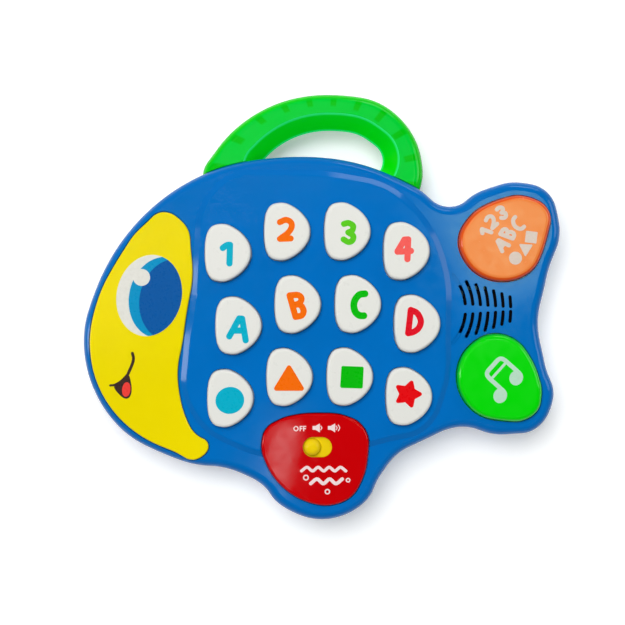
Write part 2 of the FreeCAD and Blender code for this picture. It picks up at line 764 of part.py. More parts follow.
additions.append(rod(cover_screw_place, cover_boss_radius + 1.6, floor_z, back_z + cover_boss_height))
for place in housing_screw_places:
    sleeve = screw_head + counterbore_gap + counterbore_wall
    additions.append(rod(place, sleeve, back_z + 0.5, screw_seat_z + 1.5))
    additions.append(rod(place, boss_radius, screw_seat_z, boss_meet_z))
additions += [rod(p, post_radius, back_z + 0.5, button_board_z) for p in button_posts]
back = back.fuse([piece.common(solid_form) for piece in additions])

cover_plate_z = back_z + cover_thickness
openings = [box(bay_x0, bay_x1, bay_y0, bay_y1, floor_z, bay_top)]
openings.append(slab(cover_x0 - cover_gap, cover_x1 + cover_gap, cover_y0 - cover_gap, cover_y1 + cover_gap,
                     cover_corner, back_z - 1, floor_z))
openings.append(box(cover_x0, bay_x1, bay_y0, bay_y1, back_z - 1, floor_z + 1))
cup_top = cover_plate_z + cover_cup_height
openings.append(rod(cover_screw_place, cover_cup_radius + 0.5, back_z - 1, cup_top + 0.3))
openings.append(rod(cover_screw_place, board_screw_radius + cover_screw_play,
                    back_z, back_z + cover_boss_height - 1))
for place in housing_screw_places:
    openings.append(rod(place, screw_head + counterbore_gap, -1, screw_seat_z))
    openings.append(rod(place, screw_radius + screw_clearance, screw_seat_z - 1, boss_meet_z + 1))
    openings.append(rod(place, boss_radius + boss_gap, boss_meet_z, split_z + 1))
openings += [rod(p, board_screw_radius + screw_play, button_board_z - board_screw_length, button_board_z + 1)
             for p in button_posts]
tab_half = 2.0
tab_y = [bay_y - cell_pitch / 2, bay_y + cell_pitch / 2]
for y in tab_y:
    openings.append(box(bay_x0 - bay_wall - 1, bay_x0 + 1, y - tab_half - 0.2, y + tab_half + 0.2,
                        cell_z + 3.0, cell_z + 3.0 + contact_thickness + 0.4))
openings += lug_notches
nodes["back_shell"] = back.cut(openings)

# Cover: plate with a hook at one end, and a cup for the screw at the other
cover = slab(cover_x0, cover_x1, cover_y0, cover_y1, cover_corner - cover_gap, back_z, cover_plate_z)
hook_low = floor_z + 0.2
hook_y0 = bay_y - hook_width / 2
hook_y1 = bay_y + hook_width / 2
hook_high = hook_low + hook_thickness
cover = cover.fuse(box(cover_x0 - hook_length, cover_x0 + 2, hook_y0, hook_y1, hook_low, hook_high))
cover = cover.fuse(box(cover_x0 + 0.4, cover_x0 + 2, hook_y0, hook_y1, cover_plate_z - 0.5, hook_high))
cover = cover.fuse(rod(cover_screw_place, cover_cup_radius, back_z, cup_top))
cover_seat = cup_top - 1.2
cover = cover.cut([rod(cover_screw_place, board_screw_head + 0.4, back_z - 1, cover_seat),
                   rod(cover_screw_place, board_screw_radius + screw_slack, back_z, cup_top + 1)])
for i in range(cover_rib_count):
    x = cover_x0 + cover_rib_setback + i * cover_rib_pitch
    cover = cover.cut(box(x, x + cover_rib_width, bay_y - cover_rib_half, bay_y + cover_rib_half,
                          back_z - 1, back_z + cover_rib_depth))
nodes["battery_cover"] = cover.removeSplitter()
nodes["cover_screw"] = screw(cover_screw_place, cover_seat, cover_screw_length, board_screw_radius,
                             board_screw_head, board_screw_head_height, True)

# Two cells laid head to tail, with wound springs and flat contacts
cells = []
springs = []
contacts = []
for side, y in zip((1, -1), tab_y):
    axis = V(side, 0, 0)
    tail_end = bay_x - side * (bay_length / 2 - contact_thickness - spring_length - bay_end_play / 2)
    start = V(tail_end, y, cell_z)
    can = Part.makeCylinder(cell_radius, cell_length, start, axis)
    can = can.makeFillet(0.8, [e for e in can.Edges if isinstance(e.Curve, Part.Circle)])
    nub = Part.makeCylinder(cell_nub_radius, cell_nub_height + 0.5, start + axis * (cell_length - 0.5), axis)
    cells.append(can.fuse(nub))
    foot = V(bay_x - side * (bay_length / 2 - contact_thickness), y, cell_z)
    spring = coil(spring_turns, (spring_length - 2 * spring_wire) / spring_turns, spring_radius, spring_wire)
    spring.rotate(V(0, 0, 0), V(0, 1, 0), 90 * side)
    spring.translate(foot + axis * (spring_wire + spring_clearance))
    springs.append(spring)
for end in (-1, 1):
    for y in tab_y:
        x0 = bay_x + end * (bay_length / 2) - (contact_thickness if end > 0 else 0)
        plate = box(x0, x0 + contact_thickness, y - contact_size / 2, y + contact_size / 2,
                    cell_z - contact_size / 2, cell_z + contact_size / 2)
        if end < 0:
            tab = box(x0 - bay_wall - 1.6, x0 + contact_thickness, y - tab_half, y + tab_half,
                      cell_z + 3.2, cell_z + 3.2 + contact_thickness)
            plate = plate.fuse(tab).removeSplitter()
        contacts.append(plate)
far_x = bay_x + bay_length / 2 - contact_thickness
bridge = box(far_x, far_x + contact_thickness, tab_y[0], tab_y[1], cell_z - 2, cell_z + 2)
joined = contacts[2].fuse([contacts[3], bridge]).removeSplitter()
nodes["battery_cells"] = Part.makeCompound(cells)
nodes["battery_springs"] = Part.makeCompound(springs)
nodes["battery_contacts"] = Part.makeCompound(contacts[:2] + [joined])

# Carrying handle
hub = V(rib_center[0], rib_center[1], 0)
body_block = prism(grow(fish, handle_gap), 0, base_z)
crown = split_z + handle_half
shell = round_at(prism(handle_outline, split_z, crown), crown, handle_round)
shell = shell.cut(taper(grip_outline, split_z, grow(grip_outline, handle_slope), crown))
room = round_at(prism(grow(handle_outline, -handle_wall), split_z, crown - handle_wall), crown - handle_wall,
                handle_round - handle_wall)
slope_wall = handle_wall * 1.35
room_slope = handle_slope * (handle_half - handle_wall) / handle_half
room = room.cut(taper(grow(grip_outline, slope_wall), split_z, grow(grip_outline, slope_wall + room_slope),
                      crown - handle_wall))
ribs = []
for i in range(rib_count):
    angle = rib_first_angle - i * rib_step
    rib = box(0, 80, -rib_thickness / 2, rib_thickness / 2, split_z, crown)
    rib.rotate(V(0, 0, 0), UP, angle)
    rib.translate(hub)
    ribs.append(rib.common(room))
end_wall = room.common(prism(grow(fish, handle_gap + handle_wall), 0, base_z))
half_handle = shell.cut(room).fuse(end_wall).cut(body_block)
lugs = []
for lug, place in ((left_lug, left_lug_screw), (right_lug, right_lug_screw)):
    block = lug_block(lug, 0).cut(rod(place, boss_radius + boss_gap, 0, base_z))
    lugs.append(block.common(prism(handle_outline, split_z, base_z)))
ribbed = half_handle.fuse([rib.cut(body_block) for rib in ribs] + lugs).removeSplitter()
plain = half_handle.fuse(lugs).removeSplitter()
nodes["handle_front"] = ribbed
nodes["handle_back"] = plain.mirror(V(0, 0, split_z), UP)

# Screws
nodes["housing_screws"] = Part.makeCompound([
    screw(p, screw_seat_z, screw_length, screw_radius, screw_head, screw_head_height, True)
    for p in housing_screw_places])
board_screws = [screw(p, board_z, board_screw_length, board_screw_radius, board_screw_head,
                      board_screw_head_height, True) for p in post_places]
board_screws += [screw(p, switch_board_z, board_screw_length, board_screw_radius, board_screw_head,
                       board_screw_head_height, True) for p in switch_posts]
board_screws += [screw(p, button_board_top, board_screw_length, board_screw_radius, board_screw_head,
                       board_screw_head_height, False) for p in button_posts]
nodes["board_screws"] = Part.makeCompound(board_screws)

# Insulated leads between the boards, the speaker, the switch and the battery contacts
edge_x = board_x1 - 3
speaker_leads = []
for side in (-1, 1):
    y = speaker_y + side * 3
    start = V(speaker_x - speaker_radius + 1.5, y, tab_z)
    low = board_z - 2.5
    speaker_leads.append(lead([start, V(start.x, y, low), V(edge_x, y, low), V(edge_x, y, board_z)]))
nodes["speaker_leads"] = Part.makeCompound(speaker_leads)
button_leads = []
for cx, cy in (mode_center, music_center):
    for side in (-1, 1):
        y = cy + side * 5
        start = V(cx - button_board_length / 2 + 2, y, button_board_z)
        low = button_board_z - 2
        button_leads.append(lead([start, V(start.x, y, low), V(edge_x, y, low), V(edge_x, y, board_z)]))
nodes["button_leads"] = Part.makeCompound(button_leads)
switch_leads = []
for step in (-4, 0, 4):
    x = switch_x + step
    y = slot_y + switch_board_width / 2 - 2
    low = switch_board_z - 2
    end_y = board_y0 + 3
    switch_leads.append(lead([V(x, y, switch_board_z), V(x, y, low), V(x, end_y, low), V(x, end_y, board_z)]))
nodes["switch_leads"] = Part.makeCompound(switch_leads)
battery_leads = []
for y in tab_y:
    x = bay_x0 - bay_wall - 1.0
    start = V(x, y, cell_z + 3.2 + contact_thickness)
    high = cell_z + 6
    battery_leads.append(lead([start, V(x, y, high), V(x - 6, y, high), V(x - 6, y, board_z)]))
nodes["battery_leads"] = Part.makeCompound(battery_leads)

# The frame's origin is under the middle of the whole outline
whole = fish.BoundBox
whole.add(handle_outline.BoundBox)
home = V(-whole.Center.x, -whole.Center.y, 0)

os.makedirs("parts", exist_ok=True)
for name, shape in nodes.items():
    shape.translate(home)
    shape.exportStep("parts/%s.step" % name)
    print(name, len(shape.Solids), shape.isValid(), round(shape.Volume))
print("knob travel", round(knob_travel, 2), "origin shift", home)
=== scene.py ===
# %% [markdown]
# # A fish-shaped learning pad
# The toy lies on its back with its keys up. Its solids are already made at their real size, so
# this lesson doesn't model the housing again. It sets up a small photo studio, gives each solid
# the finish of the real plastic, rubber or metal, and prints the marks on the keys.
# Lengths are in millimetres in the lesson and are turned into metres where Blender needs them.

# %% Load the solids
import math

import bmesh
import bpy
import numpy as np
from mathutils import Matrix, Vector


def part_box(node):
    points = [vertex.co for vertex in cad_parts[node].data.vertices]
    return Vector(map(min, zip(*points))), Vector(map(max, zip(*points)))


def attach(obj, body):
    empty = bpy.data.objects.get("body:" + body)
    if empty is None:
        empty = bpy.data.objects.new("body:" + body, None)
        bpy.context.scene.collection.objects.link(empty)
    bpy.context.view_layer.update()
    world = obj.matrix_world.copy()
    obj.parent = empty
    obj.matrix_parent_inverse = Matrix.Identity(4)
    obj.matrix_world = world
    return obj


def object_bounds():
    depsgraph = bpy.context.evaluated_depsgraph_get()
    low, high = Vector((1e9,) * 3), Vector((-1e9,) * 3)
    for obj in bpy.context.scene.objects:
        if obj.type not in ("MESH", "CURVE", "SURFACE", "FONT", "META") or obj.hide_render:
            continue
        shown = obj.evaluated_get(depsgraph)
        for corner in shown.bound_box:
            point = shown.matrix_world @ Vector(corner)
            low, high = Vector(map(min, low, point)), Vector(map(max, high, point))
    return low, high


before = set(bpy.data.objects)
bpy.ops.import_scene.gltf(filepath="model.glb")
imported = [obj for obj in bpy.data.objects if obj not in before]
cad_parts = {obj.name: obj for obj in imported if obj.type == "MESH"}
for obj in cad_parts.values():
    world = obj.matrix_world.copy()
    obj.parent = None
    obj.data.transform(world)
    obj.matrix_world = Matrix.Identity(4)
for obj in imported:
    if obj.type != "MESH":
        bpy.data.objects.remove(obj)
cad_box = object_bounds()
MM = 0.001
size = (cad_box[1] - cad_box[0]) / MM
print("solids:", len(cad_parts), "size in mm:", [round(side, 1) for side in size])

# %% [markdown]
# ## Camera
# The picture was taken from straight above, with the lens over the middle of the key field. A
# Blender camera looks along its own -Z with +Y up in the picture, so it needs no turning at all.
# The lens follows from how much of the table the picture covers at the height of the key field.

# %% Camera above the pad
PICTURE_WIDTH = 341.25
PICTURE_HEIGHT_ABOVE_TABLE = 25.0
CAMERA_DISTANCE = 700.0
CAMERA_OVER = (-5.05, -3.30)
lens_data = bpy.data.cameras.new("studio_camera")
lens_data.lens = lens_data.sensor_width * CAMERA_DISTANCE / PICTURE_WIDTH
camera = bpy.data.objects.new("studio_camera", lens_data)
bpy.context.scene.collection.objects.link(camera)
camera_height = PICTURE_HEIGHT_ABOVE_TABLE + CAMERA_DISTANCE
camera.location = Vector((*CAMERA_OVER, camera_height)) * MM
bpy.context.scene.camera = camera
bpy.context.scene.view_settings.view_transform = "Standard"
print("lens:", round(lens_data.lens, 1), "mm")

# %% [markdown]
# ## Colours as they look on screen
# Shaders work with linear light, and a colour picker shows screen values from 0 to 255. One small
# function turns the second into the first, so every colour below can be written as it looks. A
# second one makes a grey that is already in linear light.

# %% Screen colour to shader colour
def paint(red, green, blue):
    linear = []
    for level in (red, green, blue):
        share = level / 255
        linear.append(share / 12.92 if share <= 0.04045 else ((share + 0.055) / 1.055) ** 2.4)
    return (*linear, 1.0)


def grey(level):
    return (level, level, level, 1.0)


print("mid grey in linear light:", round(paint(128, 128, 128)[0], 3))

# %% [markdown]
# ## White paper
# The toy lies on a white sweep. The camera should see white paper with a soft shadow on it, and
# the toy should only get the light that such paper throws back. Light Path tells the two apart:
# rays from the camera, and mirror and glass rays, meet paper that glows a little, while all other
# rays meet plain pale paper. The largest of the three ray signals is one when any of them is one.

# %% Paper that glows a little
PAPER_GLOW = 0.29
PAPER_SHADE = 0.98
PAPER_PLAIN = 0.8


def sums(tree, operation, *values):
    node = tree.nodes.new("ShaderNodeMath")
    node.operation = operation
    for socket, value in zip(node.inputs, values):
        if isinstance(value, (int, float)):
            socket.default_value = value
        else:
            tree.links.new(value, socket)
    return node.outputs[0]


def sheet(tree, level):
    diffuse = tree.nodes.new("ShaderNodeBsdfDiffuse")
    diffuse.inputs["Color"].default_value = grey(level)
    return diffuse.outputs[0]


paper = bpy.data.materials.new("white_paper")
paper.use_nodes = True
tree = paper.node_tree
tree.nodes.clear()
glow = tree.nodes.new("ShaderNodeEmission")
glow.inputs["Strength"].default_value = PAPER_GLOW
glowing = tree.nodes.new("ShaderNodeAddShader")
tree.links.new(glow.outputs[0], glowing.inputs[0])
tree.links.new(sheet(tree, PAPER_SHADE), glowing.inputs[1])
ray = tree.nodes.new("ShaderNodeLightPath").outputs
watching = sums(tree, "MAXIMUM", ray["Is Camera Ray"], ray["Is Glossy Ray"])
watching = sums(tree, "MAXIMUM", watching, ray["Is Transmission Ray"])
choose = tree.nodes.new("ShaderNodeMixShader")
tree.links.new(watching, choose.inputs["Fac"])
tree.links.new(sheet(tree, PAPER_PLAIN), choose.inputs[1])
tree.links.new(glowing.outputs[0], choose.inputs[2])
out = tree.nodes.new("ShaderNodeOutputMaterial")
tree.links.new(choose.outputs[0], out.inputs["Surface"])
print("paper glows", PAPER_GLOW, "where it is seen")

# %% [markdown]
# ## Floor
# One large square is enough for the sweep, because the picture shows only its middle. It belongs
# to the studio and not to the toy.

# %% White sweep
FLOOR_SIDE = 12.0
half = FLOOR_SIDE / 2
floor_corners = [(-half, -half, 0), (half, -half, 0), (half, half, 0), (-half, half, 0)]
floor_mesh = bpy.data.meshes.new("floor")
floor_mesh.from_pydata(floor_corners, [], [(0, 1, 2, 3)])
floor_mesh.materials.append(paper)
floor = bpy.data.objects.new("floor", floor_mesh)
bpy.context.scene.collection.objects.link(floor)
print("floor side:", FLOOR_SIDE, "m")

# %% [markdown]
# ## Main light
# The shadow lies close under the lower edge of the toy, so the main lamp is large and stands high
# behind the handle, with a weaker one in front. Glossy plastic also shows what it mirrors. A
# camera overhead sees the ceiling in every flat face, and a bright ceiling would put a grey veil
# on all colours. So both lamps have a polarising sheet, which Blender writes as a lamp that mirror
# rays and glass rays don't meet. Places and sides are in metres.

# %% Two lamps
TOY_MIDDLE = (0, 0, 0.02)


def soft_lamp(name, place, aim, width, height, watts):
    data = bpy.data.lights.new(name, "AREA")
    data.shape = "RECTANGLE"
    data.size = width
    data.size_y = height
    data.energy = watts
    lamp = bpy.data.objects.new(name, data)
    bpy.context.scene.collection.objects.link(lamp)
    lamp.location = place
    lamp.rotation_mode = "QUATERNION"
    lamp.rotation_quaternion = (Vector(aim) - Vector(place)).to_track_quat("-Z", "Y")
    return lamp


key_lamp = soft_lamp("key_lamp", (-0.33, 0.48, 1.45), TOY_MIDDLE, 1.1, 0.9, 19.2)
front_lamp = soft_lamp("front_lamp", (0.25, -0.65, 1.4), TOY_MIDDLE, 0.9, 0.6, 3.4)
for lamp in (key_lamp, front_lamp):
    lamp.visible_glossy = False
    lamp.visible_transmission = False
    print(lamp.name, round(lamp.data.energy, 1), "W")

# %% [markdown]
# ## Reflections
# Five small panels give the few reflections that the pad has. One draws a line along the upper
# edge of the key field, one a pale green patch on the tail, and one a streak on the red panel.
# The last two stand low at the left and the right. Only reflections show them, so they trace the
# rounded sides of the housing and light nothing else.

# %% Panels and strips
TAIL_TINT = (0.6, 1.0, 0.6)
TOY_TOP = (0, 0, 0.03)
soft_lamp("skirt_panel", (0.45, 1.1, 0.62), (0, 0.05, 0.03), 0.6, 0.3, 1.6)
tail_panel = soft_lamp("tail_panel", (0.27, 0.12, 1.2), (0.1, 0.04, 0.03), 0.2, 0.16, 0.42)
tail_panel.data.color = TAIL_TINT
soft_lamp("red_panel_strip", (-0.053, -0.22, 1.2), (-0.02, -0.085, 0.03), 0.035, 0.11, 0.045)
left_strip = soft_lamp("left_strip", (-1.15, -0.01, 0.8), TOY_TOP, 0.26, 0.6, 2.9)
right_strip = soft_lamp("right_strip", (1.1, 0.3, 0.8), TOY_TOP, 0.6, 0.6, 2.4)
for strip in (left_strip, right_strip):
    strip.visible_diffuse = False

# %% [markdown]
# ## Room
# The room is grey near the floor and almost black overhead, so flat faces keep their full colour
# and only the steep sides mirror something pale. A ramp over the height of the sky does this.

# %% Dark room
ROOM_LOW = 0.32
ROOM_TOP = 0.03
ROOM_FADE = (0.2, 0.7)
NOISE_LOW = 0.3
NOISE_HIGH = 0.7


def axes(tree, output):
    where = tree.nodes.new("ShaderNodeTexCoord")
    split = tree.nodes.new("ShaderNodeSeparateXYZ")
    tree.links.new(where.outputs[output], split.inputs[0])
    return split.outputs


def shades(tree, driver, low, high, start=NOISE_LOW, end=NOISE_HIGH):
    ramp = tree.nodes.new("ShaderNodeValToRGB")
    ramp.color_ramp.elements[0].position = start
    ramp.color_ramp.elements[0].color = low
    ramp.color_ramp.elements[1].position = end
    ramp.color_ramp.elements[1].color = high
    tree.links.new(driver, ramp.inputs["Fac"])
    return ramp.outputs["Color"]


room = bpy.data.worlds.new("studio_room")
bpy.context.scene.world = room
room.use_nodes = True
air = room.node_tree
height = axes(air, "Generated")["Z"]
sky = shades(air, height, grey(ROOM_LOW), grey(ROOM_TOP), *ROOM_FADE)
air.links.new(sky, air.nodes["Background"].inputs["Color"])
print("room: grey", ROOM_LOW, "near the floor,", ROOM_TOP, "overhead")

# %% [markdown]
# ## Noise, ranges and ripples
# Every finish below is built from the same few steps. A noise texture reads the piece's own
# coordinates, so it stays on the piece. Most of its values lie between 0.3 and 0.7, and a range
# turns these into the values that a socket needs. A bump turns a signal into a fine ripple, and
# a cloudy gloss is a noise that drives the roughness.

# %% Steps that all finishes share
RIPPLE_STRENGTH = 0.25


def new_finish(name):
    finish = bpy.data.materials.new(name)
    finish.use_nodes = True
    return finish, finish.node_tree, finish.node_tree.nodes["Principled BSDF"]


def grain(tree, per_metre, detail, stretch=(1, 1, 1)):
    where = tree.nodes.new("ShaderNodeTexCoord")
    place = tree.nodes.new("ShaderNodeMapping")
    place.inputs["Scale"].default_value = stretch
    noise = tree.nodes.new("ShaderNodeTexNoise")
    noise.inputs["Scale"].default_value = per_metre
    noise.inputs["Detail"].default_value = detail
    tree.links.new(where.outputs["Object"], place.inputs["Vector"])
    tree.links.new(place.outputs["Vector"], noise.inputs["Vector"])
    return noise.outputs["Fac"]


def between(tree, driver, low, high, start=NOISE_LOW, end=NOISE_HIGH):
    span = tree.nodes.new("ShaderNodeMapRange")
    span.inputs["From Min"].default_value = start
    span.inputs["From Max"].default_value = end
    span.inputs["To Min"].default_value = low
    span.inputs["To Max"].default_value = high
    tree.links.new(driver, span.inputs["Value"])
    return span.outputs["Result"]


def ripple(tree, shader, driver, depth_mm):
    bump = tree.nodes.new("ShaderNodeBump")
    bump.inputs["Distance"].default_value = depth_mm * MM
    bump.inputs["Strength"].default_value = RIPPLE_STRENGTH
    tree.links.new(driver, bump.inputs["Height"])
    tree.links.new(bump.outputs["Normal"], shader.inputs["Normal"])


def gloss(tree, shader, per_metre, detail, low, high):
    cloudy = between(tree, grain(tree, per_metre, detail), low, high)
    tree.links.new(cloudy, shader.inputs["Roughness"])


def wear(finish, *names):
    for name in names:
        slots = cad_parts[name].data.materials
        slots.clear()
        slots.append(finish)


print("solids that wait for a finish:", len(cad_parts))

# %% [markdown]
# ## Moulded plastic
# Moulded plastic is never one flat colour. The pigment drifts a little over a few centimetres, the
# gloss is cloudy where hands have rubbed it, and the skin has a faint orange-peel ripple. Each of
# the three is one noise. Some pieces also have painted shade in dark places, laid over the pigment.

# %% Pigment, rubbed gloss and orange peel
DRIFTS_PER_METRE = 22
DRIFT = 0.04
PAINTED_SHADE_SHARE = 0.06
RUBS_PER_METRE = 160
BEST_GLOSS = 0.03
WORST_GLOSS = 0.05
PEELS_PER_METRE = 420
PEEL_DEPTH = 0.006
PLASTIC_IOR = 1.5
PLASTIC_SHINE = 0.35


def tinted(colour, share):
    return (*[min(1.0, level * share) for level in colour[:3]], 1.0)


def blend(tree, share, below, above):
    mix = tree.nodes.new("ShaderNodeMix")
    mix.data_type = "RGBA"
    tree.links.new(share, mix.inputs["Factor"])
    tree.links.new(below, mix.inputs[6])
    mix.inputs[7].default_value = above
    return mix.outputs[2]


def orange_peel(tree, shader):
    ripple(tree, shader, grain(tree, PEELS_PER_METRE, 2), PEEL_DEPTH)


def moulded(name, colour, rough, painted_shade_places=()):
    finish, tree, shader = new_finish(name)
    pigment = grain(tree, DRIFTS_PER_METRE, 4)
    skin = shades(tree, pigment, tinted(colour, 1 - DRIFT), tinted(colour, 1 + DRIFT))
    # Painted shade: each place darkens the pigment to a small share of its colour.
    for place in painted_shade_places:
        skin = blend(tree, place(tree), skin, tinted(colour, PAINTED_SHADE_SHARE))
    tree.links.new(skin, shader.inputs["Base Color"])
    gloss(tree, shader, RUBS_PER_METRE, 6, rough - BEST_GLOSS, rough + WORST_GLOSS)
    orange_peel(tree, shader)
    shader.inputs["IOR"].default_value = PLASTIC_IOR
    shader.inputs["Specular IOR Level"].default_value = PLASTIC_SHINE
    return finish


BLUE = paint(0, 112, 196)
BLUE_ROUGH = 0.10
wear(moulded("blue_abs", BLUE, BLUE_ROUGH), "back_shell", "battery_cover")
wear(moulded("knob_yellow_abs", paint(248, 214, 0), 0.22), "slider_knob")
print("plain finishes:", [m.name for m in bpy.data.materials if m.name.endswith("abs")])

# %% [markdown]
# ## Dark gaps
# No light reaches the bottom of the narrow gaps around keys and plates. At the size of the picture
# they are dark lines, so the upright walls near the top of the housing are painted almost black as
# painted shade. The wall that holds the speaker is painted black too, as painted shade, or blue
# would shine through the slots of the grille.
# The direction and the height of the surface find the first places, and a box around the cloth
# behind the grille finds the second.

# %% Front shell, face plate and red panel
GAPS_FROM = 26.6
GAPS_FADE = 0.4
UPRIGHT = (0.1, 0.3)
GRILLE_RIM = 5.0
GRILLE_FADE = 0.5
ABOVE_CLOTH = (0.3, 0.6)


# Painted shade: upright walls near the top of the housing, where no light reaches into the gaps.
def painted_gap_shade(tree):
    upright = between(tree, axes(tree, "Normal")["Z"], 1, 0, *UPRIGHT)
    height = axes(tree, "Object")["Z"]
    near_top = between(tree, height, 0, 1, GAPS_FROM * MM, (GAPS_FROM + GAPS_FADE) * MM)
    return sums(tree, "MULTIPLY", upright, near_top)


# Painted shade: in a box around the speaker cloth, walls up to just above the cloth turn almost
# black.
def painted_grille_shade(tree):
    low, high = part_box("speaker_cloth")
    spot = axes(tree, "Object")
    fade_from, fade_to = [high.z + rise * MM for rise in ABOVE_CLOTH]
    share = between(tree, spot["Z"], 1, 0, fade_from, fade_to)
    for axis, start, end in (("X", low.x, high.x), ("Y", low.y, high.y)):
        off_middle = sums(tree, "ABSOLUTE", sums(tree, "SUBTRACT", spot[axis], (start + end) / 2))
        edge = (end - start) / 2 + GRILLE_RIM * MM
        inside = between(tree, off_middle, 1, 0, edge, edge + GRILLE_FADE * MM)
        share = sums(tree, "MULTIPLY", share, inside)
    return share


wear(moulded("front_blue_abs", BLUE, BLUE_ROUGH, (painted_gap_shade, painted_grille_shade)), "front_shell")
wear(moulded("yellow_abs", paint(246, 224, 0), 0.12, (painted_gap_shade,)), "face_plate")
wear(moulded("red_abs", paint(208, 0, 6), 0.06, (painted_gap_shade,)), "switch_panel")
print("upright walls are dark from", GAPS_FROM, "mm above the table")

# %% [markdown]
# ## White keys
# The keys are a warmer, softer white than paper, with a satin skin. The rounded edges are painted
# a little darker than the top, as painted shade, and the height above the table is enough to find
# them: the top is flat and every point below it belongs to the edge or the side.

# %% Painted shade by height
SHADE_JITTER_PER_METRE = 90
SHADE_JITTER_SHARE = 0.12
SHADE_RANGE = (0.06, 0.98)


def shade_by_height(name, side, top, low_mm, high_mm, rough):
    finish, tree, shader = new_finish(name)
    height = between(tree, axes(tree, "Object")["Z"], 0, 1, low_mm * MM, high_mm * MM)
    # Painted shade: below the top the colour turns to the darker side colour, along a noisy line.
    jittered_height = sums(tree, "MULTIPLY_ADD", grain(tree, SHADE_JITTER_PER_METRE, 5), SHADE_JITTER_SHARE, height)
    tree.links.new(shades(tree, jittered_height, side, top, *SHADE_RANGE), shader.inputs["Base Color"])
    gloss(tree, shader, 220, 6, rough - 0.05, rough + 0.08)
    orange_peel(tree, shader)
    shader.inputs["IOR"].default_value = PLASTIC_IOR
    return finish


KEYS = [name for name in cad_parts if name.startswith("key_") and name != "key_mat"]
KEY_SHADED_EDGE = paint(228, 228, 223)
KEY_FACE = paint(237, 236, 231)
key_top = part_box(KEYS[0])[1].z / MM
key_white = shade_by_height("key_white", KEY_SHADED_EDGE, KEY_FACE, key_top - 1.6, key_top - 0.1, 0.3)
wear(key_white, *KEYS)
print("keys:", len(KEYS), "top at", round(key_top, 2), "mm")

# %% [markdown]
# ## Tail buttons
# The two large buttons are a thin, slightly see-through plastic. Light that enters at the rounded
# rim comes out deeper in colour, so the rim is painted darker than the broad top, as painted shade.

# %% Orange and green buttons
# Painted shade: the rim colours, deeper and darker than the faces.
ORANGE_RIM, ORANGE_FACE = paint(238, 84, 4), paint(249, 138, 66)
GREEN_RIM, GREEN_FACE = paint(0, 200, 6), paint(0, 226, 2)
button_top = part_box("mode_button")[1].z / MM
rim_low, rim_high = button_top - 0.38, button_top - 0.14
orange = shade_by_height("orange_button_skin", ORANGE_RIM, ORANGE_FACE, rim_low, rim_high, 0.2)
wear(orange, "mode_button")
rim_low, rim_high = button_top - 1.9, button_top - 0.1
leaf = shade_by_height("green_button_skin", GREEN_RIM, GREEN_FACE, rim_low, rim_high, 0.16)
wear(leaf, "music_button")
print("button top:", round(button_top, 2), "mm")

# %% [markdown]
# ## Ribs of the handle
# The handle is tinted plastic that lets some light through, and the ribs under its roof show as
# darker patches, which are painted shade on the roof. They stand at equal angles around one point,
# so a turn around that point counts them, and a stripe lies around each whole number. They end on
# an oval, which keeps the inner half of the roof clear.

# %% Rule for the ribs
HANDLE_MIDDLE = (2.8, 70.0)
RIB_FIRST = 156.6
RIB_STEP = 17.9
RIB_LAST_NUMBER = 8
RIB_END_LEFT = 53.0
RIB_END_RIGHT = 43.9
RIB_END_TOP = 39.6
RIB_EDGE = (0.09, 0.15)
RIB_END_EDGE = (0.96, 1.02)
MIDDLE_BAND = 5.0


def painted_rib_shade(tree, across, along):
    turn = sums(tree, "ARCTAN2", along, across)
    before = math.radians(RIB_FIRST + RIB_STEP)
    after = math.radians(RIB_FIRST - RIB_STEP * (RIB_LAST_NUMBER + 1))
    number = between(tree, turn, RIB_LAST_NUMBER + 1, -1, after, before)
    stripes = between(tree, sums(tree, "PINGPONG", number, 0.5), 1, 0, *RIB_EDGE)
    band = MIDDLE_BAND * MM
    half_wide = between(tree, across, RIB_END_LEFT * MM, RIB_END_RIGHT * MM, -band, band)
    wide = sums(tree, "DIVIDE", across, half_wide)
    tall = sums(tree, "DIVIDE", along, RIB_END_TOP * MM)
    reach = sums(tree, "MULTIPLY_ADD", wide, wide, sums(tree, "MULTIPLY", tall, tall))
    return sums(tree, "MULTIPLY", stripes, between(tree, reach, 0, 1, *RIB_END_EDGE))


print("ribs:", RIB_LAST_NUMBER + 1, "one every", RIB_STEP, "degrees")

# %% [markdown]
# ## Clear green handle
# The flat roof is painted pale, and the slope down to the finger hole, a thicker layer, is painted
# a deeper green, as painted shade. Its upper ridge and the lip where the two halves meet gather the
# light inside the plastic; they get a painted pale mint highlight and glow a little, though no lamp
# is there. The direction of the surface tells roof and slope apart, and the height above or below
# the seam finds ridge and lip.

# %% Tinted clear plastic
HANDLE_SEAM = 17.0
RIDGE_OFF_SEAM = (7.7, 8.5)
LIP_OFF_SEAM = (0.4, 1.1)
INWARD = (-8.0, -4.0)
ROOF = (0.8, 0.97)
PAINTED_EDGE_GLOW = 0.15


def between_mm(tree, driver, low, high, start_end):
    return between(tree, driver, low, high, start_end[0] * MM, start_end[1] * MM)


def slope_and_highlight_masks(tree, facing, across, along, height):
    sideways = sums(tree, "MULTIPLY", facing["Y"], along)
    outward = sums(tree, "MULTIPLY_ADD", facing["X"], across, sideways)
    inner_slope = between_mm(tree, outward, 1, 0, INWARD)
    off_seam = sums(tree, "ABSOLUTE", sums(tree, "SUBTRACT", height, HANDLE_SEAM * MM))
    ridge = between_mm(tree, off_seam, 0, 1, RIDGE_OFF_SEAM)
    lip = between_mm(tree, off_seam, 1, 0, LIP_OFF_SEAM)
    return inner_slope, sums(tree, "MULTIPLY", inner_slope, sums(tree, "MAXIMUM", ridge, lip))


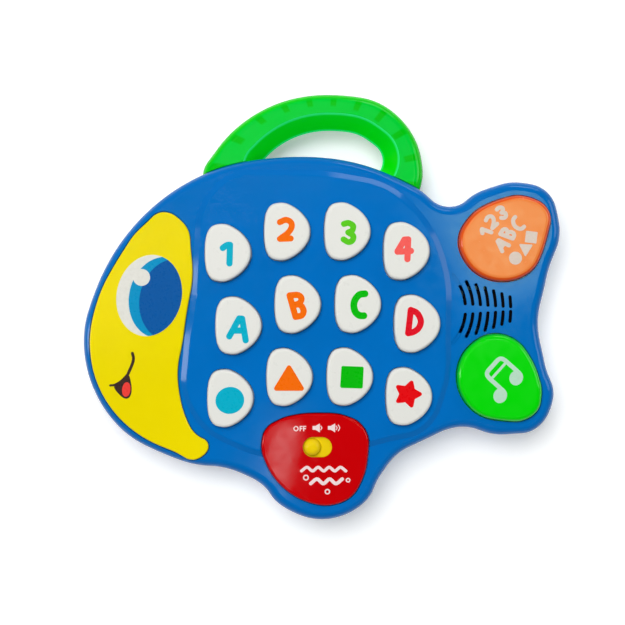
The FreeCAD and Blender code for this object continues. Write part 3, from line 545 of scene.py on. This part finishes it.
def clear_green(name):
    finish, tree, shader = new_finish(name)
    facing = axes(tree, "Normal")
    spot = axes(tree, "Object")
    across = sums(tree, "SUBTRACT", spot["X"], HANDLE_MIDDLE[0] * MM)
    along = sums(tree, "SUBTRACT", spot["Y"], HANDLE_MIDDLE[1] * MM)
    roof = between(tree, facing["Z"], 0, 1, *ROOF)
    cloudy = sums(tree, "ADD", roof, sums(tree, "MULTIPLY_ADD", grain(tree, 40, 4), 0.3, -0.15))
    skin = shades(tree, cloudy, paint(0, 224, 8), paint(2, 222, 60), 0.1, 0.9)
    ribs = sums(tree, "MULTIPLY", painted_rib_shade(tree, across, along), roof)
    inner_slope, edges = slope_and_highlight_masks(tree, facing, across, along, spot["Z"])
    # Painted shade and highlight: darker ribs, deeper slope, pale mint ridge and lip.
    skin = blend(tree, ribs, skin, paint(0, 208, 12))
    skin = blend(tree, inner_slope, skin, paint(0, 248, 2))
    skin = blend(tree, edges, skin, paint(45, 246, 128))
    tree.links.new(skin, shader.inputs["Base Color"])
    gloss(tree, shader, 180, 5, 0.1, 0.18)
    orange_peel(tree, shader)
    shader.inputs["Transmission Weight"].default_value = 0.1
    shader.inputs["IOR"].default_value = 1.49
    shader.inputs["Specular IOR Level"].default_value = 0.3
    # Painted highlight: the ridge and the lip glow a little, though no lamp is there.
    shader.inputs["Emission Color"].default_value = paint(50, 240, 130)
    glow = between(tree, edges, 0, PAINTED_EDGE_GLOW, 0, 1)
    tree.links.new(glow, shader.inputs["Emission Strength"])
    return finish


wear(clear_green("clear_green"), "handle_front", "handle_back")

# %% [markdown]
# ## Rubber, resin and wires
# Nobody sees the parts inside until the back comes off, but a part that is taken apart should look
# like what it is. Rubber is matt and dusty, a film cone has fibres and a ferrite magnet is
# grainy. One matt finish serves them all, with its own two shades, grain and roughness for each.

# %% Matt parts
MATT_DEPTH = 0.05
DUST_SPREAD = 0.08
DUST_FINENESS = 3
PORE_FINENESS = 8
MATT_PARTS = {
    "grey_silicone": ((120, 122, 124), (148, 150, 150), 140, 0.62,
                      ("key_mat", "mode_button_dome", "music_button_dome")),
    "black_resin": ((18, 18, 20), (34, 34, 36), 260, 0.5, ("sound_chip", "speaker_clamp")),
    "black_case": ((22, 22, 24), (40, 40, 42), 320, 0.42, ("slide_switch", "switch_lever")),
    "cone_film": ((28, 28, 30), (58, 56, 54), 520, 0.7, ("speaker_cone",)),
    "ferrite": ((42, 42, 44), (70, 70, 72), 420, 0.6, ("speaker_magnet",)),
    "red_insulation": ((150, 18, 16), (186, 30, 26), 300, 0.45,
                       ("speaker_leads", "switch_leads")),
    "black_insulation": ((20, 20, 20), (40, 40, 42), 300, 0.45,
                         ("button_leads", "battery_leads")),
}


def matt(name, low, high, per_metre, rough):
    finish, tree, shader = new_finish(name)
    tree.links.new(shades(tree, grain(tree, per_metre, 6), low, high), shader.inputs["Base Color"])
    gloss(tree, shader, per_metre * DUST_FINENESS, 4, rough - DUST_SPREAD, rough + DUST_SPREAD)
    ripple(tree, shader, grain(tree, per_metre * PORE_FINENESS, 3), MATT_DEPTH)
    return finish


for name, (dark, pale, per_metre, rough, parts) in MATT_PARTS.items():
    wear(matt(name, paint(*dark), paint(*pale), per_metre, rough), *parts)
    print(name, "on", len(parts))

# %% [markdown]
# ## Circuit boards
# A circuit board has copper tracks under green lacquer. A brick texture draws them: the bricks are
# the bare board in two close greens, and the mortar between them is the raised, paler track.

# %% Green lacquer over tracks
TRACKS_PER_METRE = 90
TRACK_WIDTH = 0.035
TRACK_HEIGHT = 0.04


def lacquered_board(name):
    finish, tree, shader = new_finish(name)
    where = tree.nodes.new("ShaderNodeTexCoord")
    tracks = tree.nodes.new("ShaderNodeTexBrick")
    tracks.inputs["Scale"].default_value = TRACKS_PER_METRE
    tracks.inputs["Mortar Size"].default_value = TRACK_WIDTH
    tracks.inputs["Color1"].default_value = paint(18, 92, 44)
    tracks.inputs["Color2"].default_value = paint(24, 104, 52)
    tracks.inputs["Mortar"].default_value = paint(92, 150, 70)
    tree.links.new(where.outputs["Object"], tracks.inputs["Vector"])
    tree.links.new(tracks.outputs["Color"], shader.inputs["Base Color"])
    gloss(tree, shader, 300, 4, 0.25, 0.42)
    ripple(tree, shader, tracks.outputs["Fac"], TRACK_HEIGHT)
    return finish


boards = [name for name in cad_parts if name.endswith("_board")]
wear(lacquered_board("board_lacquer"), *boards)
print("boards:", boards)

# %% [markdown]
# ## Speaker cloth
# Black cloth lies behind the slots, so that dust stays out. Two crossed wave textures make a plain
# weave: one set of threads runs each way, and the higher one wins at each crossing. At scale 1 a
# wave texture has a little more than three bands in a metre, which turns threads into a scale.

# %% Woven cloth
THREADS_PER_MM = 1.6
THREAD_HEIGHT = 0.15
BANDS_AT_SCALE_ONE = 3.14


def woven(name, dark, pale):
    finish, tree, shader = new_finish(name)
    where = tree.nodes.new("ShaderNodeTexCoord")
    threads = []
    for direction in ("X", "Y"):
        wave = tree.nodes.new("ShaderNodeTexWave")
        wave.bands_direction = direction
        wave.inputs["Scale"].default_value = THREADS_PER_MM / MM / BANDS_AT_SCALE_ONE
        tree.links.new(where.outputs["Object"], wave.inputs["Vector"])
        threads.append(wave.outputs["Fac"])
    over = sums(tree, "MAXIMUM", *threads)
    tree.links.new(shades(tree, over, dark, pale), shader.inputs["Base Color"])
    ripple(tree, shader, over, THREAD_HEIGHT)
    shader.inputs["Roughness"].default_value = 0.9
    shader.inputs["Specular IOR Level"].default_value = 0.1
    return finish


wear(woven("black_weave", paint(2, 2, 3), paint(16, 16, 18)), "speaker_cloth")
cloth_low, cloth_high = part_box("speaker_cloth")
print("cloth thickness:", round((cloth_high.z - cloth_low.z) / MM, 2), "mm")

# %% [markdown]
# ## Metal parts
# Screws are zinc plated, contacts and springs are nickel plated, and the speaker frame is pressed
# steel. Noise that is stretched along one axis gives the fine lines of rolling and plating, and
# the same lines drive colour, gloss and ripple, so that they agree.

# %% Metals
LINES_PER_METRE = 400
LINE_DEPTH = 0.02
METAL_PARTS = {
    "zinc_plate": ((168, 170, 174), (206, 208, 210), 0.34, (1, 1, 8),
                   ("housing_screws", "board_screws", "clamp_screws", "cover_screw")),
    "nickel_plate": ((186, 184, 176), (222, 220, 212), 0.24, (6, 1, 1),
                     ("battery_springs", "battery_contacts")),
    "pressed_steel": ((150, 152, 154), (184, 186, 188), 0.38, (1, 5, 1), ("speaker_frame",)),
}


def metal(name, low, high, rough, stretch):
    finish, tree, shader = new_finish(name)
    lines = grain(tree, LINES_PER_METRE, 5, stretch)
    tree.links.new(shades(tree, lines, low, high), shader.inputs["Base Color"])
    tree.links.new(between(tree, lines, rough - 0.06, rough + 0.1), shader.inputs["Roughness"])
    ripple(tree, shader, lines, LINE_DEPTH)
    shader.inputs["Metallic"].default_value = 1.0
    return finish


for name, (dark, pale, rough, stretch, parts) in METAL_PARTS.items():
    wear(metal(name, paint(*dark), paint(*pale), rough, stretch), *parts)
    print(name, "on", len(parts))

# %% [markdown]
# ## Battery cells
# The two cells wear a printed wrap: a dark sleeve between two bands of copper colour. A ramp
# along the length of the cell draws them, and its stops don't fade into each other.

# %% Printed wrap
COPPER = paint(196, 148, 62)
SLEEVE = paint(28, 28, 32)
WRAP = ((0.0, COPPER), (0.18, SLEEVE), (0.82, COPPER))
WRAP_DEPTH = 0.03


def cell_sleeve(name):
    finish, tree, shader = new_finish(name)
    low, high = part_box("battery_cells")
    ramp = tree.nodes.new("ShaderNodeValToRGB")
    ramp.color_ramp.interpolation = "CONSTANT"
    stops = ramp.color_ramp.elements
    stops.new(WRAP[-1][0])
    for stop, (position, colour) in zip(stops, WRAP):
        stop.position = position
        stop.color = colour
    along = between(tree, axes(tree, "Object")["X"], 0, 1, low.x, high.x)
    tree.links.new(along, ramp.inputs["Fac"])
    tree.links.new(ramp.outputs["Color"], shader.inputs["Base Color"])
    gloss(tree, shader, 200, 4, 0.2, 0.34)
    ripple(tree, shader, grain(tree, 300, 3), WRAP_DEPTH)
    shader.inputs["Metallic"].default_value = 0.4
    return finish


wear(cell_sleeve("cell_sleeve"), "battery_cells")
plain = []
for name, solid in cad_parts.items():
    if not solid.data.materials[0].node_tree.nodes.get("Noise Texture"):
        plain.append(name)
print("nodes whose finish has no noise:", plain)

# %% [markdown]
# ## Printed marks: lines
# The marks on the keys are ink, a thin flat layer with rounded ends. A bevelled curve would give
# tubes, and a font would give someone's letters. Here a mark is a rule that says how far a point is
# from the ink: negative inside, positive outside. A round pen is the distance to its line, less
# half the pen's width. The line is a smooth one that passes through all its points.

# %% A round pen
LINE_STEPS = 8
FAR = 1e9


def line_through(points, closed=False):
    spots = [np.array(p, float) for p in points]
    if closed:
        spots = [spots[-1]] + spots + spots[:2]
    else:
        spots = [2 * spots[0] - spots[1]] + spots + [2 * spots[-1] - spots[-2]]
    line = []
    for a, b, c, d in zip(spots, spots[1:], spots[2:], spots[3:]):
        square = 2 * a - 5 * b + 4 * c - d
        cube = 3 * b - a - 3 * c + d
        for step in range(LINE_STEPS):
            t = step / LINE_STEPS
            line.append((2 * b + (c - a) * t + square * t ** 2 + cube * t ** 3) / 2)
    return line if closed else line + [spots[-2]]


def off_segment(x, y, start, end):
    run = np.array(end) - np.array(start)
    share = np.clip(((x - start[0]) * run[0] + (y - start[1]) * run[1]) / (run @ run), 0, 1)
    return np.hypot(x - start[0] - share * run[0], y - start[1] - share * run[1])


def pen(nib, *strokes):
    def rule(x, y):
        away = np.full(x.shape, FAR)
        for stroke in strokes:
            line = line_through(stroke) if len(stroke) > 2 else stroke
            for start, end in zip(line, line[1:]):
                away = np.minimum(away, off_segment(x, y, start, end))
        return away - nib
    return rule


outside = pen(1.5, [(0, 0), (1, 0)])(np.array([0.5]), np.array([2.0]))[0]
print("a pen of 3 mm at 2 mm from its line:", outside, "mm outside")

# %% [markdown]
# ## Printed marks: filled shapes
# A block is a filled outline with straight sides and rounded corners, and an oval can lean. Marks
# join, overlap or cut each other with a minimum or a maximum, and a rule is moved, turned or scaled
# by moving the point that it is asked about the other way.

# %% Blocks, ovals and their sums
def block(rounding, *corners):
    def rule(x, y):
        away = np.full(x.shape, FAR)
        inside = np.zeros(x.shape, bool)
        for start, end in zip(corners, (*corners[1:], corners[0])):
            away = np.minimum(away, off_segment(x, y, start, end))
            if start[1] != end[1]:
                meets = start[0] + (end[0] - start[0]) * (y - start[1]) / (end[1] - start[1])
                inside ^= ((start[1] > y) != (end[1] > y)) & (x < meets)
        return np.where(inside, -away, away) - rounding
    return rule


def oval(x0, y0, half_wide, half_tall, lean=0.0):
    c, s = math.cos(math.radians(lean)), math.sin(math.radians(lean))

    def rule(x, y):
        u = ((x - x0) * c + (y - y0) * s) / half_wide
        v = ((y - y0) * c - (x - x0) * s) / half_tall
        return (np.hypot(u, v) - 1) * min(half_wide, half_tall)
    return rule


def either(*rules):
    return lambda x, y: np.minimum.reduce([rule(x, y) for rule in rules])


def within(*rules):
    return lambda x, y: np.maximum.reduce([rule(x, y) for rule in rules])


def less(rule, hole):
    return lambda x, y: np.maximum(rule(x, y), -hole(x, y))


def ring(x0, y0, radius, hole_radius):
    return less(oval(x0, y0, radius, radius), oval(x0, y0, hole_radius, hole_radius))


def placed(rule, x0, y0, turn=0.0, scale=1.0):
    c, s = math.cos(math.radians(turn)), math.sin(math.radians(turn))

    def moved(x, y):
        u, v = (x - x0) / scale, (y - y0) / scale
        return rule(u * c + v * s, v * c - u * s) * scale
    return moved


inside = block(0.5, (-2, -2), (2, -2), (2, 2), (-2, 2))(np.array([0.0]), np.array([0.0]))[0]
print("the middle of a 5 mm block:", inside, "mm from its edge")

# %% [markdown]
# ## Printed marks: the edge of the ink
# The edge of the ink is where the rule is zero. A grid of samples finds it: wherever two neighbours
# differ in sign, the edge crosses between them, and linking the crossings cell by cell gives closed
# loops. Points on a straight run are left out, because they add nothing.

# %% Trace a rule
TRACE_STEP = 0.12
STRAIGHT_ENOUGH = 0.008
JUST_OUTSIDE = 1e-9


def thinned(loop):
    kept, start = [loop[0]], 0
    for end in range(2, len(loop)):
        skipped = np.array(loop[start + 1:end])
        off_line = off_segment(skipped[:, 0], skipped[:, 1], loop[start], loop[end])
        if off_line.max() > STRAIGHT_ENOUGH:
            start = end - 1
            kept.append(loop[start])
    return kept + [loop[-1]]


def crossings(ink):
    linked = {}
    corners = ink[:-1, :-1].astype(int) + ink[1:, :-1] + ink[:-1, 1:] + ink[1:, 1:]
    for i, j in np.argwhere((corners > 0) & (corners < 4)):
        lower, upper = ((i, j), (i + 1, j)), ((i, j + 1), (i + 1, j + 1))
        left, right = ((i, j), (i, j + 1)), ((i + 1, j), (i + 1, j + 1))
        crossed = [side for side in (lower, right, upper, left) if ink[side[0]] != ink[side[1]]]
        if len(crossed) == 4:
            crossed = [lower, left, right, upper]
        for one, other in zip(crossed[::2], crossed[1::2]):
            linked.setdefault(one, []).append(other)
            linked.setdefault(other, []).append(one)
    return linked


def trace(rule, centre, reach, step):
    xs = np.arange(centre[0] - reach, centre[0] + reach + step, step)
    ys = np.arange(centre[1] - reach, centre[1] + reach + step, step)
    x, y = np.meshgrid(xs, ys, indexing="ij")
    level = rule(x, y)
    level[level == 0] = JUST_OUTSIDE
    linked = crossings(level < 0)
    loops = []
    while linked:
        side, before, loop = next(iter(linked)), None, []
        while side in linked:
            a, b = side
            share = level[a] / (level[a] - level[b])
            loop.append((x[a] + (x[b] - x[a]) * share, y[a] + (y[b] - y[a]) * share))
            ways = linked.pop(side)
            before, side = side, next((w for w in ways if w != before and w in linked), None)
        loops.append(thinned(loop))
    return loops


ring_loops = trace(ring(0, 0, 3, 2), (0, 0), 4, TRACE_STEP)
print("a ring has", len(ring_loops), "loops with", [len(loop) for loop in ring_loops], "points")

# %% [markdown]
# ## Ink
# Printing ink on plastic is a little less glossy than the plastic, and pad printing leaves it
# slightly uneven. Two close shades and a fine grain are enough at this size.

# %% Ink colours
INK_THIN = 0.965
INK_FULL = 1.03
INK_RIPPLE = 0.004


def ink(name, red, green, blue):
    finish, tree, shader = new_finish("ink_" + name)
    colour = paint(red, green, blue)
    uneven = shades(tree, grain(tree, 420, 3), tinted(colour, INK_THIN), tinted(colour, INK_FULL))
    tree.links.new(uneven, shader.inputs["Base Color"])
    gloss(tree, shader, 700, 4, 0.24, 0.36)
    ripple(tree, shader, grain(tree, 1500, 3), INK_RIPPLE)
    shader.inputs["Specular IOR Level"].default_value = 0.25
    return finish


teal = ink("teal", 0, 178, 206)
orange_ink = ink("orange", 255, 110, 0)
lime = ink("lime", 92, 206, 28)
coral = ink("coral", 255, 96, 92)
leaf_ink = ink("green", 0, 190, 4)
red_ink = ink("red", 232, 4, 36)
star_red = ink("star_red", 236, 0, 12)
print("inks:", [m.name for m in bpy.data.materials if m.name.startswith("ink_")])

# %% [markdown]
# ## From loops to a layer of ink
# The loops are filled and pulled up into a closed plate less than a tenth of a millimetre thick,
# like a real layer of ink. It starts a little inside the plastic, so no gap shows under it. It
# rides on the body of the piece that it is printed on, so it moves with a key that is pressed.

# %% A closed plate of ink
INK = 0.06
SINK = 0.02
WELD = 0.004


def printed(name, rule, centre, reach, surface, body, ink, layer=0, step=TRACE_STEP):
    mesh = bmesh.new()
    base = surface + layer * INK - SINK
    for loop in trace(rule, centre, reach, step):
        edge = [mesh.verts.new((x * MM, y * MM, base * MM)) for x, y in loop]
        for start, end in zip(edge, edge[1:] + edge[:1]):
            mesh.edges.new((start, end))
    bmesh.ops.remove_doubles(mesh, verts=mesh.verts[:], dist=WELD * MM)
    bmesh.ops.triangle_fill(mesh, use_beauty=True, use_dissolve=False, edges=mesh.edges[:])
    lifted = bmesh.ops.extrude_face_region(mesh, geom=mesh.faces[:], use_keep_orig=True)["geom"]
    up = [part for part in lifted if isinstance(part, bmesh.types.BMVert)]
    bmesh.ops.translate(mesh, verts=up, vec=(0, 0, (INK + SINK) * MM))
    bmesh.ops.recalc_face_normals(mesh, faces=mesh.faces[:])
    loose = sum(1 for edge in mesh.edges if len(edge.link_faces) != 2)
    data = bpy.data.meshes.new(name)
    mesh.to_mesh(data)
    mesh.free()
    data.materials.append(ink)
    piece = bpy.data.objects.new(name, data)
    bpy.context.scene.collection.objects.link(piece)
    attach(piece, body)
    print(name, "faces:", len(data.polygons), "open edges:", loose)


print("ink stands", INK, "mm above the plastic")

# %% [markdown]
# ## Figures and letters on the keys
# Each sign is a few pen strokes around its own middle, drawn with a thick round pen, and
# sits a little off the middle of its key, so the rows look lively.

# %% Print figures and letters
SIGN_REACH = 9.5
KEY_NIB = 1.68
OWN_NIBS = {"2": 1.62, "3": 1.6, "c": 1.85}
STROKES = {
    "1": ([(-2.0, 3.3), (0.2, 4.8), (1.9, 5.0)], [(1.9, 5.0), (1.6, -5.0)]),
    "2": ([(-3.2, 4.0), (-0.1, 5.2), (2.6, 4.0), (3.1, 1.3), (1.0, -1.9), (-3.2, -5.0)],
          [(-3.2, -5.0), (2.6, -4.8)]),
    "3": ([(-2.5, 4.6), (0.0, 5.1), (2.4, 3.6), (1.9, 1.1), (-0.2, 0.1)],
          [(-0.2, 0.1), (2.5, -1.9), (1.9, -4.4), (-0.2, -5.1), (-2.7, -3.7)]),
    "4": ([(0.1, 5.2), (-3.6, -1.1)], [(0.1, 5.2), (2.1, 5.3)],
          [(-3.6, -1.3), (3.6, -0.9)], [(2.1, 5.3), (1.7, -5.3)]),
    "a": ([(0.9, 5.8), (-4.4, -3.8)], [(0.9, 5.8), (2.5, 5.7)],
          [(2.5, 5.7), (4.4, -5.9)], [(-1.9, -0.7), (3.5, -0.7)]),
    "b": ([(-3.7, 5.7), (-0.5, -5.8)],
          [(-3.7, 5.7), (0.8, 5.9), (2.7, 4.0), (1.4, 1.4), (-2.2, 0.4)],
          [(-2.2, 0.4), (1.8, 0.7), (3.8, -2.3), (2.8, -5.0), (-0.5, -5.8)]),
    "c": ([(3.0, 5.9), (0.1, 5.4), (-2.2, 2.9), (-3.0, -0.3), (-2.2, -3.8), (-0.1, -5.7),
           (2.4, -5.9)],),
    "d": ([(-2.0, 6.2), (-3.4, -6.3)],
          [(-2.0, 6.2), (1.5, 4.4), (3.4, 0.3), (2.3, -3.4), (-0.3, -5.5), (-3.4, -6.3)]),
}
PEN_SIGNS = {
    "1": (-0.6, -0.8, teal), "2": (-0.6, 1.0, orange_ink),
    "3": (0.6, -0.8, lime), "4": (-1.4, 0.8, coral),
    "a": (-0.4, -2.0, teal), "b": (-0.6, -0.9, orange_ink),
    "c": (0.7, -0.4, leaf_ink), "d": (-1.6, 1.2, red_ink),
}


def key_print(sign, rule, dx, dy, colour):
    node = "key_" + sign
    low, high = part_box(node)
    centre = ((low.x + high.x) / 2 / MM + dx, (low.y + high.y) / 2 / MM + dy)
    rule = placed(rule, *centre)
    printed("mark_" + sign, rule, centre, SIGN_REACH, high.z / MM, "push_" + node, colour)


for sign, (dx, dy, colour) in PEN_SIGNS.items():
    key_print(sign, pen(OWN_NIBS.get(sign, KEY_NIB), *STROKES[sign]), dx, dy, colour)

# %% [markdown]
# ## Shapes on the keys
# The keys of the bottom row have filled shapes. The star goes around its middle from tip to dent
# and back, five times.

# %% Print circle, triangle, square and star
STAR_TIP = 6.45
STAR_DENT = 3.43


def around(radius, first):
    turns = [(i + first) * math.tau / 5 for i in range(5)]
    return [(radius * math.cos(turn), radius * math.sin(turn)) for turn in turns]


star = [corner for pair in zip(around(STAR_TIP, 0), around(STAR_DENT, 0.5)) for corner in pair]
SHAPES = {
    "circle": (oval(0, 0, 7.75, 7.2, 15), -0.1, -1.0, teal),
    "triangle": (block(1.25, (0, 5.9), (-6.8, -5.3), (6.7, -5.3)), -0.2, -0.7, orange_ink),
    "square": (block(0.9, (-4.9, 5.1), (5.3, 4.7), (4.8, -5.2), (-5.5, -4.9)), 1.2, -0.1, leaf_ink),
    "star": (block(1.1, *star), -0.8, 1.4, star_red),
}
for sign, shape in SHAPES.items():
    key_print(sign, *shape)

# %% [markdown]
# ## Eye of the fish
# The face is flat ink on the yellow plate. The eye is one leaning oval, and the two blues are the
# same oval slid to the right and cut off by the first, so their right edges agree exactly. Each
# ink lies on the one before, so its number says how many layers are under it.

# %% Print the eye
plate_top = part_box("face_plate")[1].z / MM
eye_white = ink("eye_white", 232, 230, 222)
eye_blue = ink("eye_blue", 0, 148, 200)
eye_dark = ink("eye_dark", 0, 88, 164)
EYE = (-93.5, 5.9)
EYE_REACH = 26.0
eye = oval(*EYE, 17.6, 22.2, -12)
EYE_LAYERS = {
    "eye_white": (eye, eye_white),
    "eye_blue": (within(eye, placed(eye, 6.7, -1.1)), eye_blue),
    "eye_dark": (within(eye, placed(eye, 12.4, -2.3)), eye_dark),
    "eye_glint": (oval(-97.6, 15.7, 4.6, 4.6), eye_white),
}
for layer, (name, (rule, colour)) in enumerate(EYE_LAYERS.items()):
    printed(name, rule, EYE, EYE_REACH, plate_top, "housing", colour, layer)

# %% [markdown]
# ## Mouth of the fish
# The mouth is two thin strokes, cheek and lip, and a filled bag where they meet. The tongue is a
# red oval on top.

# %% Print the mouth
mouth_brown = ink("mouth_brown", 62, 44, 40)
tongue_red = ink("tongue_red", 242, 66, 58)
MOUTH = (-107.0, -38.0)
MOUTH_REACH = 15.0
cheek = pen(0.8, [(-102.6, -25.4), (-102.0, -28.2), (-102.8, -31.6), (-104.9, -36.4)])
lip = pen(0.6, [(-114.6, -42.8), (-112.0, -42.4), (-108.4, -40.2), (-104.9, -36.4)])
BAG = [(-112.2, -43.6), (-108.8, -41.0), (-105.2, -37.2), (-103.7, -41.0),
       (-103.3, -45.7), (-104.2, -48.7), (-106.2, -49.7), (-109.0, -48.0)]
bag = line_through(BAG, closed=True)
mouth = either(cheek, lip, block(0.3, *[tuple(spot) for spot in bag]))
tongue = oval(-105.9, -45.0, 2.3, 4.0, -6)
printed("mouth", mouth, MOUTH, MOUTH_REACH, plate_top, "housing", mouth_brown)
printed("tongue", tongue, MOUTH, MOUTH_REACH, plate_top, "housing", tongue_red, 1)

# %% [markdown]
# ## Signs of the switch
# Above the slot of the sliding knob stand three positions: off, soft and loud. They are plain signs
# that many toys and radios have. They are small, so their edges are traced in finer steps.

# %% Print the switch signs
panel_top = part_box("switch_panel")[1].z / MM
pale_ink = ink("pale", 250, 226, 226)
SIGN_ROW = -66.1
SIGN_SCALE = 0.9
SMALL_REACH = 5.0
FINE_STEP = 0.06


def letter_f(x):
    return pen(0.32, [(x, -1.3), (x, 1.3)], [(x, 1.3), (x + 1.3, 1.3)], [(x, 0), (x + 1.1, 0)])


def loudspeaker(waves):
    horn = block(0.25, (0, 0.9), (1.6, 0.9), (3.9, 2.3), (3.9, -2.3), (1.6, -0.9), (0, -0.9))
    arcs = []
    for n in range(waves):
        x, top = 4.7 + 1.35 * n, 1.1 + 0.6 * n
        arcs.append(pen(0.28, [(x, top), (5.3 + 1.5 * n, 0), (x, -top)]))
    return either(horn, *arcs)


off = either(ring(-2.1, 0, 1.6, 0.95), letter_f(0.4), letter_f(2.5))
SWITCH_SIGNS = {
    "sign_off": (off, (-12.1, SIGN_ROW), -11.9),
    "sign_soft": (loudspeaker(1), (-4.8, SIGN_ROW + 0.4), -2.2),
    "sign_loud": (loudspeaker(2), (3.5, SIGN_ROW + 0.4), 7.0),
}
for name, (rule, place, middle) in SWITCH_SIGNS.items():
    rule = placed(rule, *place, 0, SIGN_SCALE)
    centre = (middle, SIGN_ROW)
    printed(name, rule, centre, SMALL_REACH, panel_top, "housing", pale_ink, 0, FINE_STEP)

# %% [markdown]
# ## Waves and bubbles
# The lower half of the panel has two waves, which are smooth lines through points that go up and
# down, and three bubbles, which are rings.

# %% Print the waves
WAVES = (2.0, -93.0)
WAVES_REACH = 16.0
BUBBLE_WALL = 0.7
BUBBLES = ((-8.6, -92.6, 1.6), (14.2, -94.0, 1.3), (3.0, -100.2, 1.5))


def swell(x, y, length, height, count):
    return [(x + length * i, y + (height if i % 2 else -height)) for i in range(count)]


upper = pen(0.8, swell(-11, -88.0, 3, 1.0, 9))
lower = pen(0.95, swell(-6, -94.6, 3.4, 1.2, 6))
bubbles = [ring(x, y, radius, radius - BUBBLE_WALL) for x, y, radius in BUBBLES]
waves = either(upper, lower, *bubbles)
printed("wave_print", waves, WAVES, WAVES_REACH, panel_top, "housing", pale_ink)

# %% [markdown]
# ## Print on the orange button
# The orange button shows what the keys can teach: figures, letters and shapes, in three rows that
# run up to the right. The strokes of the keys are used again, smaller, and the nib grows as the
# sign shrinks, so that all strokes are equally thick.

# %% Print figures, letters and shapes
silver = ink("silver", 226, 208, 196)
MODE_MIDDLE = (100.9, 38.2)
MODE_REACH = 20.0
PRINT_NIB = 1.1
PRINT_PLACES = {
    "1": (88.5, 39.9, 72, 0.53), "2": (91.4, 45.7, 40, 0.6), "3": (96.9, 50.5, 29, 0.6),
    "a": (96.9, 32.8, 54, 0.53), "b": (100.2, 38.8, 54, 0.6), "c": (105.4, 44.4, 46, 0.6),
}
marks = [placed(pen(PRINT_NIB / scale, *STROKES[sign]), x, y, turn, scale)
         for sign, (x, y, turn, scale) in PRINT_PLACES.items()]
small_triangle = block(0.5, (0, 2.9), (-3.0, -2.5), (3.0, -2.5))
small_square = block(0.4, (-2.75, 2.75), (2.75, 2.75), (2.75, -2.75), (-2.75, -2.75))
marks.append(oval(104.3, 26.0, 3.5, 3.5))
marks.append(placed(small_triangle, 109.8, 30.5, 177))
marks.append(placed(small_square, 112.8, 37.3, -7))
modes = either(*marks)
printed("mode_print", modes, MODE_MIDDLE, MODE_REACH, button_top, "push_mode_button", silver)

# %% [markdown]
# ## Print on the green button
# The green button has a pair of joined notes: two heads, and one line that runs up the first stem,
# along the upper beam and down the second stem. A thinner line is the lower beam.

# %% Print the notes
mint = ink("mint", 190, 228, 204)
NOTES_MIDDLE = (97.0, -38.0)
NOTES_REACH = 18.0
NOTES_PLACE = (96.1, -48.1, 48)
heads = [oval(x, 0, 4.1, 3.6, 20) for x in (0.0, 12.9)]
STEMS = [(3.0, 0.6), (3.0, 6.0), (3.1, 11.0), (3.9, 13.1), (5.8, 13.8), (9.5, 13.8),
         (13.2, 13.8), (15.0, 13.1), (15.8, 11.0), (15.9, 6.0), (15.9, 0.6)]
stems_and_beam = pen(1.15, STEMS)
lower_beam = pen(0.7, [(3.0, 9.6), (15.9, 9.6)])
notes = placed(either(*heads, stems_and_beam, lower_beam), *NOTES_PLACE)
printed("note_print", notes, NOTES_MIDDLE, NOTES_REACH, button_top, "push_music_button", mint)
